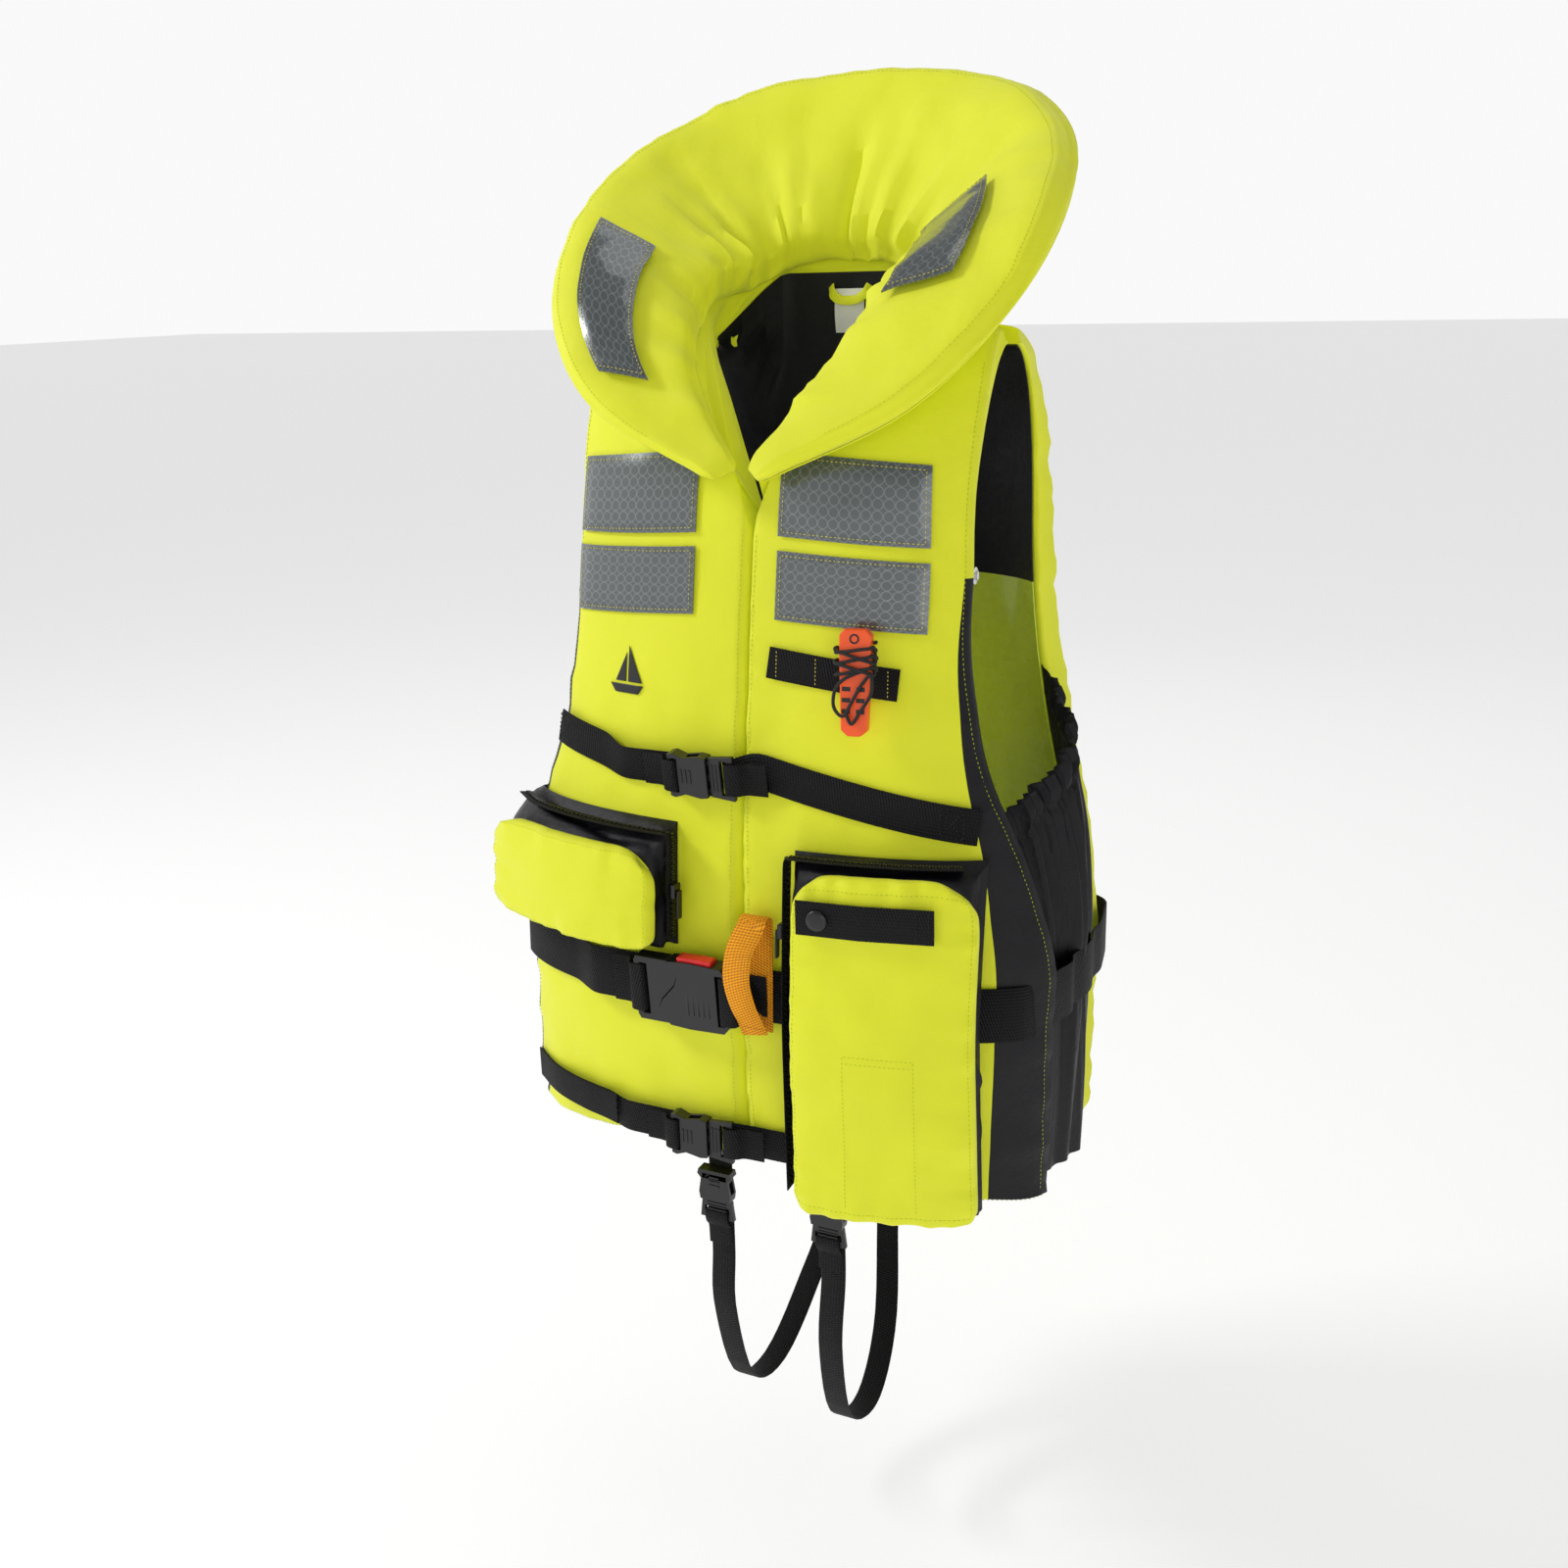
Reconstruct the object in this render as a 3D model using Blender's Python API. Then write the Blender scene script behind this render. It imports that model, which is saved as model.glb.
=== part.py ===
"""Foam life jacket with a head-support collar, as separate sub-parts.

Frame: metres, +Z up, the front faces -Y, +X is the wearer's left.
The origin is midway between the shoulders, at the height where they carry the jacket.
"""
import math

import bpy
import numpy as np
from mathutils import Matrix, Vector

# ---- driving dimensions -------------------------------------------------------------------
GAP = 0.0003                # clearance between touching pieces
FABRIC = 0.0008             # cover cloth
FOAM_CLEARANCE = 0.0018     # foam above the lining
WEBBING = 0.0016            # webbing thickness
LIFT = 0.0012               # how far a sewn-on piece stands off the cloth under it

HEM_Z = -0.585              # front hem
SIDE_HEM_Z = -0.600         # hem under the arms and at the back
SHOULDER_HALF = 0.155       # outer end of the shoulder seam
NECK_HALF = 0.085           # inner end of the shoulder seam
NECK_BACK_Z = 0.050         # top of the back panel behind the neck
V_Z = -0.122                # bottom of the neck opening at the front
SQUARENESS = 2.6            # superellipse power of the torso section

CHEST_WEB = 0.025
WAIST_WEB = 0.040
HEM_WEB = 0.025
THIGH_WEB = 0.020
TAPE = (0.100, 0.050)       # reflective patch

CHEST_Z = -0.286            # strap heights on the front
WAIST_Z = -0.446
HEM_STRAP_Z = -0.564

# Torso section by height: z, half width, front half depth, back half depth (lining side).
SECTIONS = (
    (-0.640, 0.202, 0.100, 0.098),
    (-0.450, 0.212, 0.101, 0.098),
    (-0.350, 0.204, 0.093, 0.094),
    (-0.250, 0.182, 0.080, 0.088),
    (-0.150, 0.168, 0.069, 0.083),
    (0.060, 0.168, 0.069, 0.083),
)
SHOULDER_ARC = 0.130        # the section closes over the shoulder within this height

# Outer edge of the front and back panels by height: z, front x, back x.
PANEL_EDGES = (
    (-0.640, 0.190, 0.188),
    (-0.420, 0.197, 0.194),
    (-0.350, 0.182, 0.184),
    (-0.280, 0.153, 0.168),
    (-0.200, 0.140, 0.158),
    (-0.100, 0.140, 0.156),
    (0.060, 0.155, 0.155),
)

# Foam thickness by height: z, front, back.
FOAM = (
    (-0.640, 0.038, 0.026),
    (-0.250, 0.040, 0.028),
    (-0.150, 0.036, 0.026),
    (-0.080, 0.026, 0.020),
    (0.000, 0.017, 0.017),
    (0.060, 0.012, 0.012),
)

# Collar, from the back centre (0) to the front tip (1): share, x, y, z.
COLLAR_BASE = (
    (0.00, 0.000, 0.084, 0.060),
    (0.20, 0.046, 0.076, 0.054),
    (0.40, 0.070, 0.042, 0.038),
    (0.60, 0.074, -0.010, 0.028),
    (0.75, 0.060, -0.062, -0.004),
    (0.88, 0.036, -0.088, -0.044),
    (1.00, 0.009, -0.105, -0.076),
)
COLLAR_RIM = (
    (0.00, 0.000, 0.162, 0.186),
    (0.20, 0.100, 0.146, 0.176),
    (0.40, 0.164, 0.086, 0.140),
    (0.60, 0.187, 0.012, 0.090),
    (0.75, 0.173, -0.056, 0.028),
    (0.88, 0.118, -0.103, -0.036),
    (1.00, 0.020, -0.116, -0.082),
)
COLLAR_FOAM = 0.030


# ---- small helpers ------------------------------------------------------------------------
def clear_scene():
    for obj in list(bpy.data.objects):
        bpy.data.objects.remove(obj, do_unlink=True)


def material(name, colour, roughness, metallic=0.0):
    mat = bpy.data.materials.get(name)
    if mat is None:
        mat = bpy.data.materials.new(name)
        mat.use_nodes = True
        shader = mat.node_tree.nodes["Principled BSDF"]
        shader.inputs["Base Color"].default_value = (*colour, 1.0)
        shader.inputs["Roughness"].default_value = roughness
        shader.inputs["Metallic"].default_value = metallic
    return mat


def hi_vis():
    return material("hi_vis_fabric", (0.78, 0.93, 0.02), 0.55)


def black_nylon():
    return material("black_nylon", (0.012, 0.012, 0.015), 0.45)


def black_webbing():
    return material("black_webbing", (0.010, 0.010, 0.011), 0.75)


def black_plastic():
    return material("black_plastic", (0.014, 0.014, 0.015), 0.38)


def foam_block():
    return material("foam", (0.82, 0.82, 0.80), 0.9)


def reflective_tape():
    return material("reflective_tape", (0.42, 0.45, 0.46), 0.2, 0.5)


def steel():
    return material("steel", (0.62, 0.62, 0.63), 0.25, 1.0)


def add_object(name, verts, faces, mat, origin=(0.0, 0.0, 0.0), smooth=True):
    """A mesh object whose corners are given in the model's frame and whose origin is placed."""
    origin = np.asarray(origin, dtype=float)
    mesh = bpy.data.meshes.new(name)
    mesh.from_pydata([tuple(np.asarray(v) - origin) for v in verts], [], faces)
    mesh.materials.append(mat)
    mesh.update()
    if smooth:
        mesh.shade_smooth()
        mesh.set_sharp_from_angle(angle=math.radians(40))
    obj = bpy.data.objects.new(name, mesh)
    obj.location = origin
    bpy.context.scene.collection.objects.link(obj)
    return obj


def cut(obj, cutter):
    """Subtract a cutter, which stays in the file as a hidden guide."""
    cutter.hide_render = True
    cutter.display_type = "WIRE"
    mod = obj.modifiers.new("cut", "BOOLEAN")
    mod.operation = "DIFFERENCE"
    mod.object = cutter


def column(table, index, z):
    return float(np.interp(z, [row[0] for row in table], [row[index] for row in table]))


def smooth_curve(table, share):
    """A point on a Catmull-Rom curve through rows of (share, x, y, z), mirrored at both ends."""
    shares = [row[0] for row in table]
    points = [np.array(row[1:]) for row in table]
    span = int(np.clip(np.searchsorted(shares, share, side="right") - 1, 0, len(shares) - 2))
    start, stop = points[span], points[span + 1]
    if span > 0:
        before = points[span - 1]
    else:
        before = points[1] * np.array([-1.0, 1.0, 1.0])
    after = points[span + 2] if span + 2 < len(points) else 2 * stop - start
    t = (share - shares[span]) / (shares[span + 1] - shares[span])
    return 0.5 * (
        2 * start
        + (stop - before) * t
        + (2 * before - 5 * start + 4 * stop - after) * t ** 2
        + (3 * start - before - 3 * stop + after) * t ** 3
    )


def unit(vector):
    return vector / np.linalg.norm(vector)


def smoothstep(low, high, value):
    t = float(np.clip((value - low) / (high - low), 0.0, 1.0))
    return t * t * (3 - 2 * t)


# ---- torso surfaces -----------------------------------------------------------------------
def shoulder_close(z):
    """Share of the section's depth that is left as it closes over the shoulder."""
    rise = max(0.0, (z + SHOULDER_ARC) / SHOULDER_ARC)
    return math.sqrt(max(0.0, 1.0 - min(rise, 1.0) ** 2.5))


def section_depth(x, z, index):
    """Depth of the lining surface at x, before it closes over the shoulder."""
    half = column(SECTIONS, 1, z)
    across = min(abs(x) / half, 0.985)
    return column(SECTIONS, index, z) * (1.0 - across ** SQUARENESS) ** (1.0 / SQUARENESS)


def front_base(x, z):
    return np.array([x, -section_depth(x, z, 2) * shoulder_close(z), z])


def neck_share(x):
    """0 behind the neck, 1 out on the shoulder."""
    return smoothstep(0.055, NECK_HALF, abs(x))


def back_base(x, z):
    closed = shoulder_close(z)
    keep = closed + (1.0 - closed) * (1.0 - neck_share(x))
    return np.array([x, section_depth(x, z, 3) * keep, z])


def surface_normal(base, x, z, outward):
    """Unit normal of a base surface by central differences; outward is -1 (front) or +1."""
    step = 0.0015
    low = z - step
    high = min(z + step, -0.0005) if z < 0 else z + step
    across = base(x + step, z) - base(x - step, z)
    along = base(x, high) - base(x, low)
    return unit(np.cross(along, across)) * outward


def front_normal(x, z):
    return surface_normal(front_base, x, min(z, -0.002), -1)


def back_normal(x, z):
    return surface_normal(back_base, x, min(z, -0.002), 1)


def neckline_z(x):
    """Top edge of a front panel: the V at the middle, the seam on the shoulder."""
    share = min(abs(x) / NECK_HALF, 1.0)
    return V_Z * (1.0 - share) ** 2.2


def hem_z(x):
    return HEM_Z + (SIDE_HEM_Z - HEM_Z) * smoothstep(0.06, 0.18, abs(x))


def edge_round(share, power, floor):
    """Height share near an edge: 1 in the middle (share 0), the floor at the edge (share 1)."""
    return floor + (1.0 - floor) * (1.0 - min(abs(share), 1.0) ** power) ** (1.0 / power)


def front_round(u, v):
    """Height share of a front panel; u runs from the centre front to the armhole."""
    outer = edge_round(max(0.0, 2 * u - 1), 7.0, 0.45)
    inner = edge_round(max(0.0, 1 - 2 * u), 12.0, 0.85)
    return outer * inner * edge_round(2 * v - 1, 16.0, 0.65)


def back_round(u, v):
    return edge_round(2 * u - 1, 7.0, 0.35) * edge_round(2 * v - 1, 16.0, 0.80)


ROW_CROWD = 1.6             # how far the rows of a torso panel crowd towards the shoulder


# ---- quilted panels -----------------------------------------------------------------------
class Panel:
    """A padded panel over a base surface: a sewn cover, the foam in it and the lining."""

    def __init__(self, place, normal, height, columns, rows, lean=0.5, crowd=1.0):
        """Columns before the share lean are split along the other diagonal, as in a mirror.
        Rows crowd towards the top edge as the power crowd rises above 1."""
        self.place = place
        self.normal = normal
        self.height = height
        self.columns = columns
        self.rows = rows
        self.lean = lean
        self.crowd = crowd

    def width(self, v):
        ends = [self.place(u, v) for u in np.linspace(0, 1, 7)]
        return sum(np.linalg.norm(b - a) for a, b in zip(ends, ends[1:]))

    def length(self, u):
        ends = [self.place(u, v) for v in np.linspace(0, 1, 9)]
        return sum(np.linalg.norm(b - a) for a, b in zip(ends, ends[1:]))

    def grid(self, inset, level):
        """Points at a level above the base; level is a function of the full height there."""
        points = []
        for step in np.linspace(0, 1, self.rows + 1):
            v = 1.0 - (1.0 - step) ** self.crowd
            du = inset / self.width(v)
            for u in np.linspace(0, 1, self.columns + 1):
                dv = inset / self.length(u)
                inner_u = du + u * (1 - 2 * du)
                inner_v = dv + v * (1 - 2 * dv)
                base = self.place(inner_u, inner_v)
                points.append(base + self.normal(inner_u, inner_v) * level(self.height(u, v)))
        return points

    def cover(self, name, mat):
        outer = self.grid(0.0, lambda full: full)
        skirt = self.grid(0.0, lambda full: 0.0)
        inner = self.grid(FABRIC, lambda full: full - FABRIC)
        lip = self.grid(FABRIC, lambda full: 0.0)
        return add_object(name, *self.tray(outer, skirt, inner, lip), mat)

    def tray(self, outer, skirt, inner, lip):
        """Outer skin, its wall down to the base, the mouth's lip, and the same inside."""
        edge = border(self.columns, self.rows)
        count = len(outer)
        verts = outer + [skirt[i] for i in edge] + inner + [lip[i] for i in edge]
        skirt_start = count
        inner_start = count + len(edge)
        lip_start = inner_start + count
        faces = grid_faces(self.columns, self.rows, 0, False, self.lean)
        faces += grid_faces(self.columns, self.rows, inner_start, True, self.lean)
        for k, here in enumerate(edge):
            after = (k + 1) % len(edge)
            ahead = edge[after]
            mirrored = edge_is_mirrored(here, ahead, self.columns, self.lean)
            skirt_pair = (skirt_start + k, skirt_start + after)
            lip_pair = (lip_start + k, lip_start + after)
            inner_pair = (inner_start + here, inner_start + ahead)
            faces += wall((here, ahead), skirt_pair, mirrored)
            faces += wall(skirt_pair, lip_pair, mirrored)
            faces += wall(lip_pair, inner_pair, not mirrored)
        return verts, faces

    def foam(self, name, mat):
        inset = FABRIC + 2 * GAP
        top = self.grid(inset, lambda full: full - inset)
        bottom = self.grid(inset, lambda full: FOAM_CLEARANCE)
        return add_object(name, *slab(top, bottom, self.columns, self.rows, self.lean), mat)

    def lining(self, name, mat, first=0, last=None):
        """The sheet under the foam, or only the part of it between two rows of the grid."""
        last = self.rows if last is None else last
        stride = self.columns + 1
        layers = []
        for level in (-GAP, -GAP - FABRIC):
            points = self.grid(0.0, lambda full: level)[first * stride:(last + 1) * stride]
            if first > 0:
                for i in range(stride):
                    points[i] = points[i] + (points[i + stride] - points[i]) * 0.02
            layers.append(points)
        return add_object(name, *slab(*layers, self.columns, last - first, self.lean), mat)


def grid_faces(columns, rows, start, flip, lean=0.0):
    """Triangles of a grid, split along set diagonals so that nested layers agree."""
    faces = []
    stride = columns + 1
    for j in range(rows):
        for i in range(columns):
            a = start + j * stride + i
            b, c, d = a + 1, a + 1 + stride, a + stride
            if (i + 0.5) / columns < lean:
                halves = ((a, b, d), (b, c, d))
            else:
                halves = ((a, b, c), (a, c, d))
            faces += [half[::-1] if flip else half for half in halves]
    return faces


def wall(upper, lower, mirrored):
    """Two triangles of a wall under the edge from upper[0] to upper[1]."""
    here, ahead = upper
    low_here, low_ahead = lower
    if mirrored:
        return [(ahead, here, low_ahead), (here, low_here, low_ahead)]
    return [(ahead, here, low_here), (ahead, low_here, low_ahead)]


def edge_is_mirrored(here, ahead, columns, lean):
    stride = columns + 1
    return (here % stride + ahead % stride) / 2 / columns < lean


def border(columns, rows):
    """Indices round a grid, in the order that its faces run."""
    stride = columns + 1
    low = [i for i in range(columns)]
    right = [j * stride + columns for j in range(rows)]
    high = [rows * stride + i for i in range(columns, 0, -1)]
    left = [j * stride for j in range(rows, 0, -1)]
    return low + right + high + left


def slab(top, bottom, columns, rows, lean=0.0):
    """Closed sheet between two grids; the top grid's faces run counter-clockwise outside."""
    count = len(top)
    faces = grid_faces(columns, rows, 0, False, lean)
    faces += grid_faces(columns, rows, count, True, lean)
    edge = border(columns, rows)
    for here, ahead in zip(edge, edge[1:] + edge[:1]):
        mirrored = edge_is_mirrored(here, ahead, columns, lean)
        faces += wall((here, ahead), (count + here, count + ahead), mirrored)
    return list(top) + list(bottom), faces


def mirror_lean(side):
    """Diagonals of the wearer's right-hand pieces mirror those of the left-hand ones."""
    return 0.0 if side > 0 else 1.1


def front_panel(side):
    """side is +1 for the wearer's left, -1 for the right."""
    first = GAP

    def spot(u, v):
        share = u if side > 0 else 1 - u
        guess = first + (SHOULDER_HALF - first) * share
        for _ in range(4):
            top = neckline_z(guess)
            z = hem_z(guess) + (top - hem_z(guess)) * v
            guess = first + (column(PANEL_EDGES, 1, z) - first) * share
        return side * guess, min(z, -0.0004)

    def height(u, v):
        _, z = spot(u, v)
        return column(FOAM, 1, z) * front_round(u if side > 0 else 1 - u, v)

    return Panel(
        lambda u, v: front_base(*spot(u, v)),
        lambda u, v: front_normal(*spot(u, v)),
        height, 6, 11, mirror_lean(side), ROW_CROWD,
    )


def back_panel():
    def spot(u, v):
        across = 1 - 2 * u
        guess = SHOULDER_HALF * across
        for _ in range(4):
            top = NECK_BACK_Z * (1.0 - neck_share(guess))
            z = SIDE_HEM_Z + (top - SIDE_HEM_Z) * v
            guess = column(PANEL_EDGES, 2, z) * across
        limit = -0.0004 if neck_share(guess) > 0.98 else top
        return guess, min(z, limit)

    def place(u, v):
        point = back_base(*spot(u, v))
        return point + np.array([0.0, 2 * GAP, 0.0])

    def height(u, v):
        _, z = spot(u, v)
        return column(FOAM, 2, z) * back_round(u, v)

    return Panel(place, lambda u, v: back_normal(*spot(u, v)), height, 10, 11, crowd=ROW_CROWD)


def collar_panel():
    def place(u, v):
        share = 2 * u - 1
        base = smooth_curve(COLLAR_BASE, abs(share))
        rim = smooth_curve(COLLAR_RIM, abs(share))
        point = base + (rim - base) * v
        mirror = np.array([1.0 if share > 0 else -1.0, 1.0, 1.0])
        return point * mirror

    def normal(u, v):
        step = 0.01
        u = float(np.clip(u, step, 1 - step))
        v = float(np.clip(v, step, 1 - step))
        around = place(u + step, v) - place(u - step, v)
        out = place(u, v + step) - place(u, v - step)
        return unit(np.cross(around, out))

    def height(u, v):
        tip = (1.0 - abs(2 * u - 1) ** 3) ** 0.6
        across = (1.0 - abs(2 * v - 1) ** 3) ** (1 / 3)
        return COLLAR_FOAM * (0.22 + 0.78 * tip * (0.2 + 0.8 * across))

    return Panel(place, normal, height, 16, 4)


# ---- pieces laid on the cover -------------------------------------------------------------
def front_outer(x, z, lift=0.0):
    """A point above the front cover, where x and z are taken on its lining surface."""
    side_x = abs(x)
    edge = column(PANEL_EDGES, 1, z)
    u = min(side_x / edge, 1.0)
    v = float(np.clip((z - hem_z(x)) / (neckline_z(x) - hem_z(x)), 0.06, 1.0))
    rounded = front_round(max(u, 0.5), v)
    return front_base(x, z) + front_normal(x, z) * (column(FOAM, 1, z) * rounded + lift)


def up_on_front(x, z):
    """The upward direction within the front surface."""
    normal = front_normal(x, z)
    return unit(np.array([0.0, 0.0, 1.0]) - normal * normal[2])


def back_outer(x, z, lift=0.0):
    return back_base(x, z) + back_normal(x, z) * (column(FOAM, 2, z) + lift)


def ribbon(name, centre, across, width, thickness, mat, origin=(0, 0, 0)):
    """Flat webbing swept along points; across gives the direction of its width at each."""
    centre = [np.asarray(p, dtype=float) for p in centre]
    if np.ndim(across) == 1:
        across = [across] * len(centre)
    verts = []
    for i, point in enumerate(centre):
        along = unit(centre[min(i + 1, len(centre) - 1)] - centre[max(i - 1, 0)])
        face = unit(np.cross(across[i], along))
        side = unit(np.cross(along, face))
        for a, b in ((1, 1), (1, -1), (-1, -1), (-1, 1)):
            verts.append(point + side * (a * width / 2) + face * (b * thickness / 2))
    faces = []
    for i in range(len(centre) - 1):
        for k in range(4):
            j = (k + 1) % 4
            faces.append((4 * i + j, 4 * i + 4 + j, 4 * i + 4 + k, 4 * i + k))
    last = 4 * (len(centre) - 1)
    faces.append((3, 2, 1, 0))
    faces.append((last, last + 1, last + 2, last + 3))
    return add_object(name, verts, faces, mat, origin)


def front_run(start, stop, lift=LIFT, steps=8):
    """Webbing on the front cover between two (x, z) ends: centre points and widths' ways."""
    spots = [
        (start[0] + (stop[0] - start[0]) * t, start[1] + (stop[1] - start[1]) * t)
        for t in np.linspace(0, 1, steps + 1)
    ]
    points = [front_outer(x, z, lift + WEBBING / 2) for x, z in spots]
    return points, [up_on_front(x, z) for x, z in spots]


def prism(name, outline, low, high, frame, mat, origin=None):
    """An outline in the frame's (x, z) plane, extruded along the frame's y."""
    area = sum(a[0] * b[1] - b[0] * a[1] for a, b in zip(outline, outline[1:] + outline[:1]))
    if area < 0:
        outline = outline[::-1]
    count = len(outline)
    verts = [frame @ Vector((x, low, z)) for x, z in outline]
    verts += [frame @ Vector((x, high, z)) for x, z in outline]
    faces = [tuple(range(count)), tuple(range(2 * count - 1, count - 1, -1))]
    for i in range(count):
        j = (i + 1) % count
        faces.append((j, i, count + i, count + j))
    centre = frame.translation if origin is None else origin
    return add_object(name, [tuple(v) for v in verts], faces, mat, tuple(centre), smooth=False)


def rectangle(x0, x1, z0, z1):
    return [(x0, z0), (x1, z0), (x1, z1), (x0, z1)]


def cylinder(name, centre, axis, radius, length, mat, sides=16):
    """A round piece whose middle is at the centre."""
    axis = unit(np.asarray(axis, dtype=float))
    side = unit(np.cross(axis, (0.0, 0.0, 1.0) if abs(axis[2]) < 0.9 else (1.0, 0.0, 0.0)))
    up = np.cross(axis, side)
    verts = []
    for end in (-0.5, 0.5):
        for k in range(sides):
            angle = 2 * math.pi * k / sides
            ring = (side * math.cos(angle) + up * math.sin(angle)) * radius
            verts.append(np.asarray(centre) + axis * length * end + ring)
    faces = [tuple(range(sides - 1, -1, -1)), tuple(range(sides, 2 * sides))]
    for k in range(sides):
        j = (k + 1) % sides
        faces.append((k, j, sides + j, sides + k))
    return add_object(name, verts, faces, mat, centre)


# ---- soft body ----------------------------------------------------------------------------
LINING_SPLIT = 6            # row of the back panel where its two linings meet


def build_panels():
    for side, tag in ((1, "l"), (-1, "r")):
        panel = front_panel(side)
        panel.cover("front_cover_" + tag, hi_vis())
        panel.foam("front_foam_" + tag, foam_block())
        panel.lining("front_lining_" + tag, black_nylon())
    back = back_panel()
    back.cover("back_cover", hi_vis())
    back.foam("back_foam", foam_block())
    coated = material("coated_lining", (0.66, 0.80, 0.05), 0.25)
    back.lining("back_lining_lower", coated, 0, LINING_SPLIT)
    back.lining("back_lining_upper", black_nylon(), LINING_SPLIT)


def build_collar():
    collar = collar_panel()
    collar.cover("collar_cover", hi_vis())
    collar.foam("collar_foam", foam_block())
    collar.lining("collar_under", hi_vis())


SIDE_FRONT_TOP = -0.335     # elastic edge where it meets the front panel
SIDE_BACK_TOP = -0.250      # and where it meets the back panel
ELASTIC_WIDTH = 0.018


def side_point(side, q, z, lift=0.0):
    """A point on a side panel; q runs from the front panel (0) to the back panel (1)."""
    front = front_base(column(PANEL_EDGES, 1, z), z)
    back = back_base(column(PANEL_EDGES, 2, z), z)
    bulge = 0.020 + 0.018 * smoothstep(-0.46, -0.28, z)
    point = front + (back - front) * q
    point[0] += bulge * math.sin(math.pi * q) + lift
    point[0] *= side
    return point


def side_top(q):
    return SIDE_FRONT_TOP + (SIDE_BACK_TOP - SIDE_FRONT_TOP) * q


def build_sides():
    """Thin side panels whose top edge is folded over a wide elastic."""
    columns = 8
    for side, tag in ((1, "l"), (-1, "r")):
        shares = np.linspace(0.012, 0.985, columns + 1)
        if side < 0:
            shares = shares[::-1]
        levels = [(v, 0.0, 0.0012) for v in np.linspace(0, 1, 6)]
        levels += [(1.0, 0.004, 0.0050), (1.0, 0.014, 0.0050), (1.0, ELASTIC_WIDTH, 0.0020)]

        def layer(outside):
            points = []
            for v, extra, thick in levels:
                for q in shares:
                    z = SIDE_HEM_Z + (side_top(q) - SIDE_HEM_Z) * v + extra
                    points.append(side_point(side, q, z, thick if outside else 0.0))
            return points

        mesh = slab(layer(True), layer(False), columns, len(levels) - 1)
        add_object("side_panel_" + tag, *mesh, black_nylon())


# ---- pockets ------------------------------------------------------------------------------
# Pocket: tag, side, inner x, outer x, bottom z, top z, depth, lift off the cover.
# The waist webbing runs on behind the left pocket, which stands off the cover for it.
POCKETS = (
    ("r", -1, 0.048, 0.186, -0.420, -0.330, 0.034, LIFT),
    ("l", 1, 0.044, 0.158, -0.594, -0.338, 0.030, 0.0060),
)
ZIP_WIDTH = 0.007
ZIP_THICK = 0.0014
PULL_LENGTH = 0.021


def pocket_panel(side, inner, outer, low, high, depth, lift):
    def spot(u, v):
        x = inner + (outer - inner) * (u if side > 0 else 1 - u)
        return side * x, low + (high - low) * v

    def height(u, v):
        return depth * edge_round(2 * u - 1, 5.0, 0.80) * edge_round(2 * v - 1, 6.0, 0.88)

    return Panel(
        lambda u, v: front_outer(*spot(u, v), lift),
        lambda u, v: front_normal(*spot(u, v)),
        height, 5, 5, mirror_lean(side),
    )


def build_pocket(tag, side, inner, outer, low, high, depth, lift):
    panel = pocket_panel(side, inner, outer, low, high, depth, lift)
    wall = depth * 0.62
    base = panel.grid(0.0, lambda full: 0.0)
    middle = panel.grid(0.0, lambda full: wall)
    under_face = panel.grid(0.0, lambda full: wall + GAP)
    face = panel.grid(0.0, lambda full: full)
    lean = panel.lean
    add_object("pocket_bag_" + tag, *slab(middle, base, 5, 5, lean), black_nylon())
    add_object("pocket_face_" + tag, *slab(face, under_face, 5, 5, lean), hi_vis())
    build_zip(tag, side, inner, outer, low, high, lift + wall * 0.55)


def build_zip(tag, side, inner, outer, low, high, level):
    """Chain over the top and down the inner side, its slider and the slider's pull."""
    off = 0.0016
    top_run = [(x, high + off) for x in np.linspace(outer - 0.012, inner + 0.004, 5)]
    corner = [(inner - 0.8 * off, high + 0.8 * off)]
    side_run = [(inner - off, z) for z in np.linspace(high - 0.004, low + 0.008, 6)]
    spots = top_run + corner + side_run
    points = [front_outer(side * x, z, level) for x, z in spots]
    across = [front_normal(side * x, z) for x, z in spots]
    ribbon("pocket_zip_" + tag, points, across, ZIP_WIDTH, ZIP_THICK, black_nylon())

    foot = front_outer(side * (inner - off), ZIP_AT[tag], level)
    ahead = front_outer(side * (inner - off), ZIP_AT[tag] + 0.03, level)
    rise = unit(ahead - foot)
    out = unit(np.cross(rise, front_normal(side * inner, ZIP_AT[tag]))) * side
    out = out if out[0] * side < 0 else -out
    deep = unit(np.cross(rise, out))
    block = foot + out * (ZIP_THICK / 2 + GAP + 0.0002 + 0.002)
    box_on("zip_slider_" + tag, block, (out, deep, rise), (0.004, 0.009, 0.011), steel_black())
    pivot = block + out * (0.002 + GAP + 0.001)
    hang = pivot - rise * (PULL_LENGTH / 2 - 0.0005)
    box_on("zip_pull_" + tag, hang, (out, deep, rise), (0.0016, 0.0055, PULL_LENGTH),
           steel_black(), pivot)


ZIP_AT = {"r": -0.376, "l": -0.392}


def steel_black():
    return material("blackened_metal", (0.03, 0.03, 0.03), 0.35, 0.8)


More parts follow.
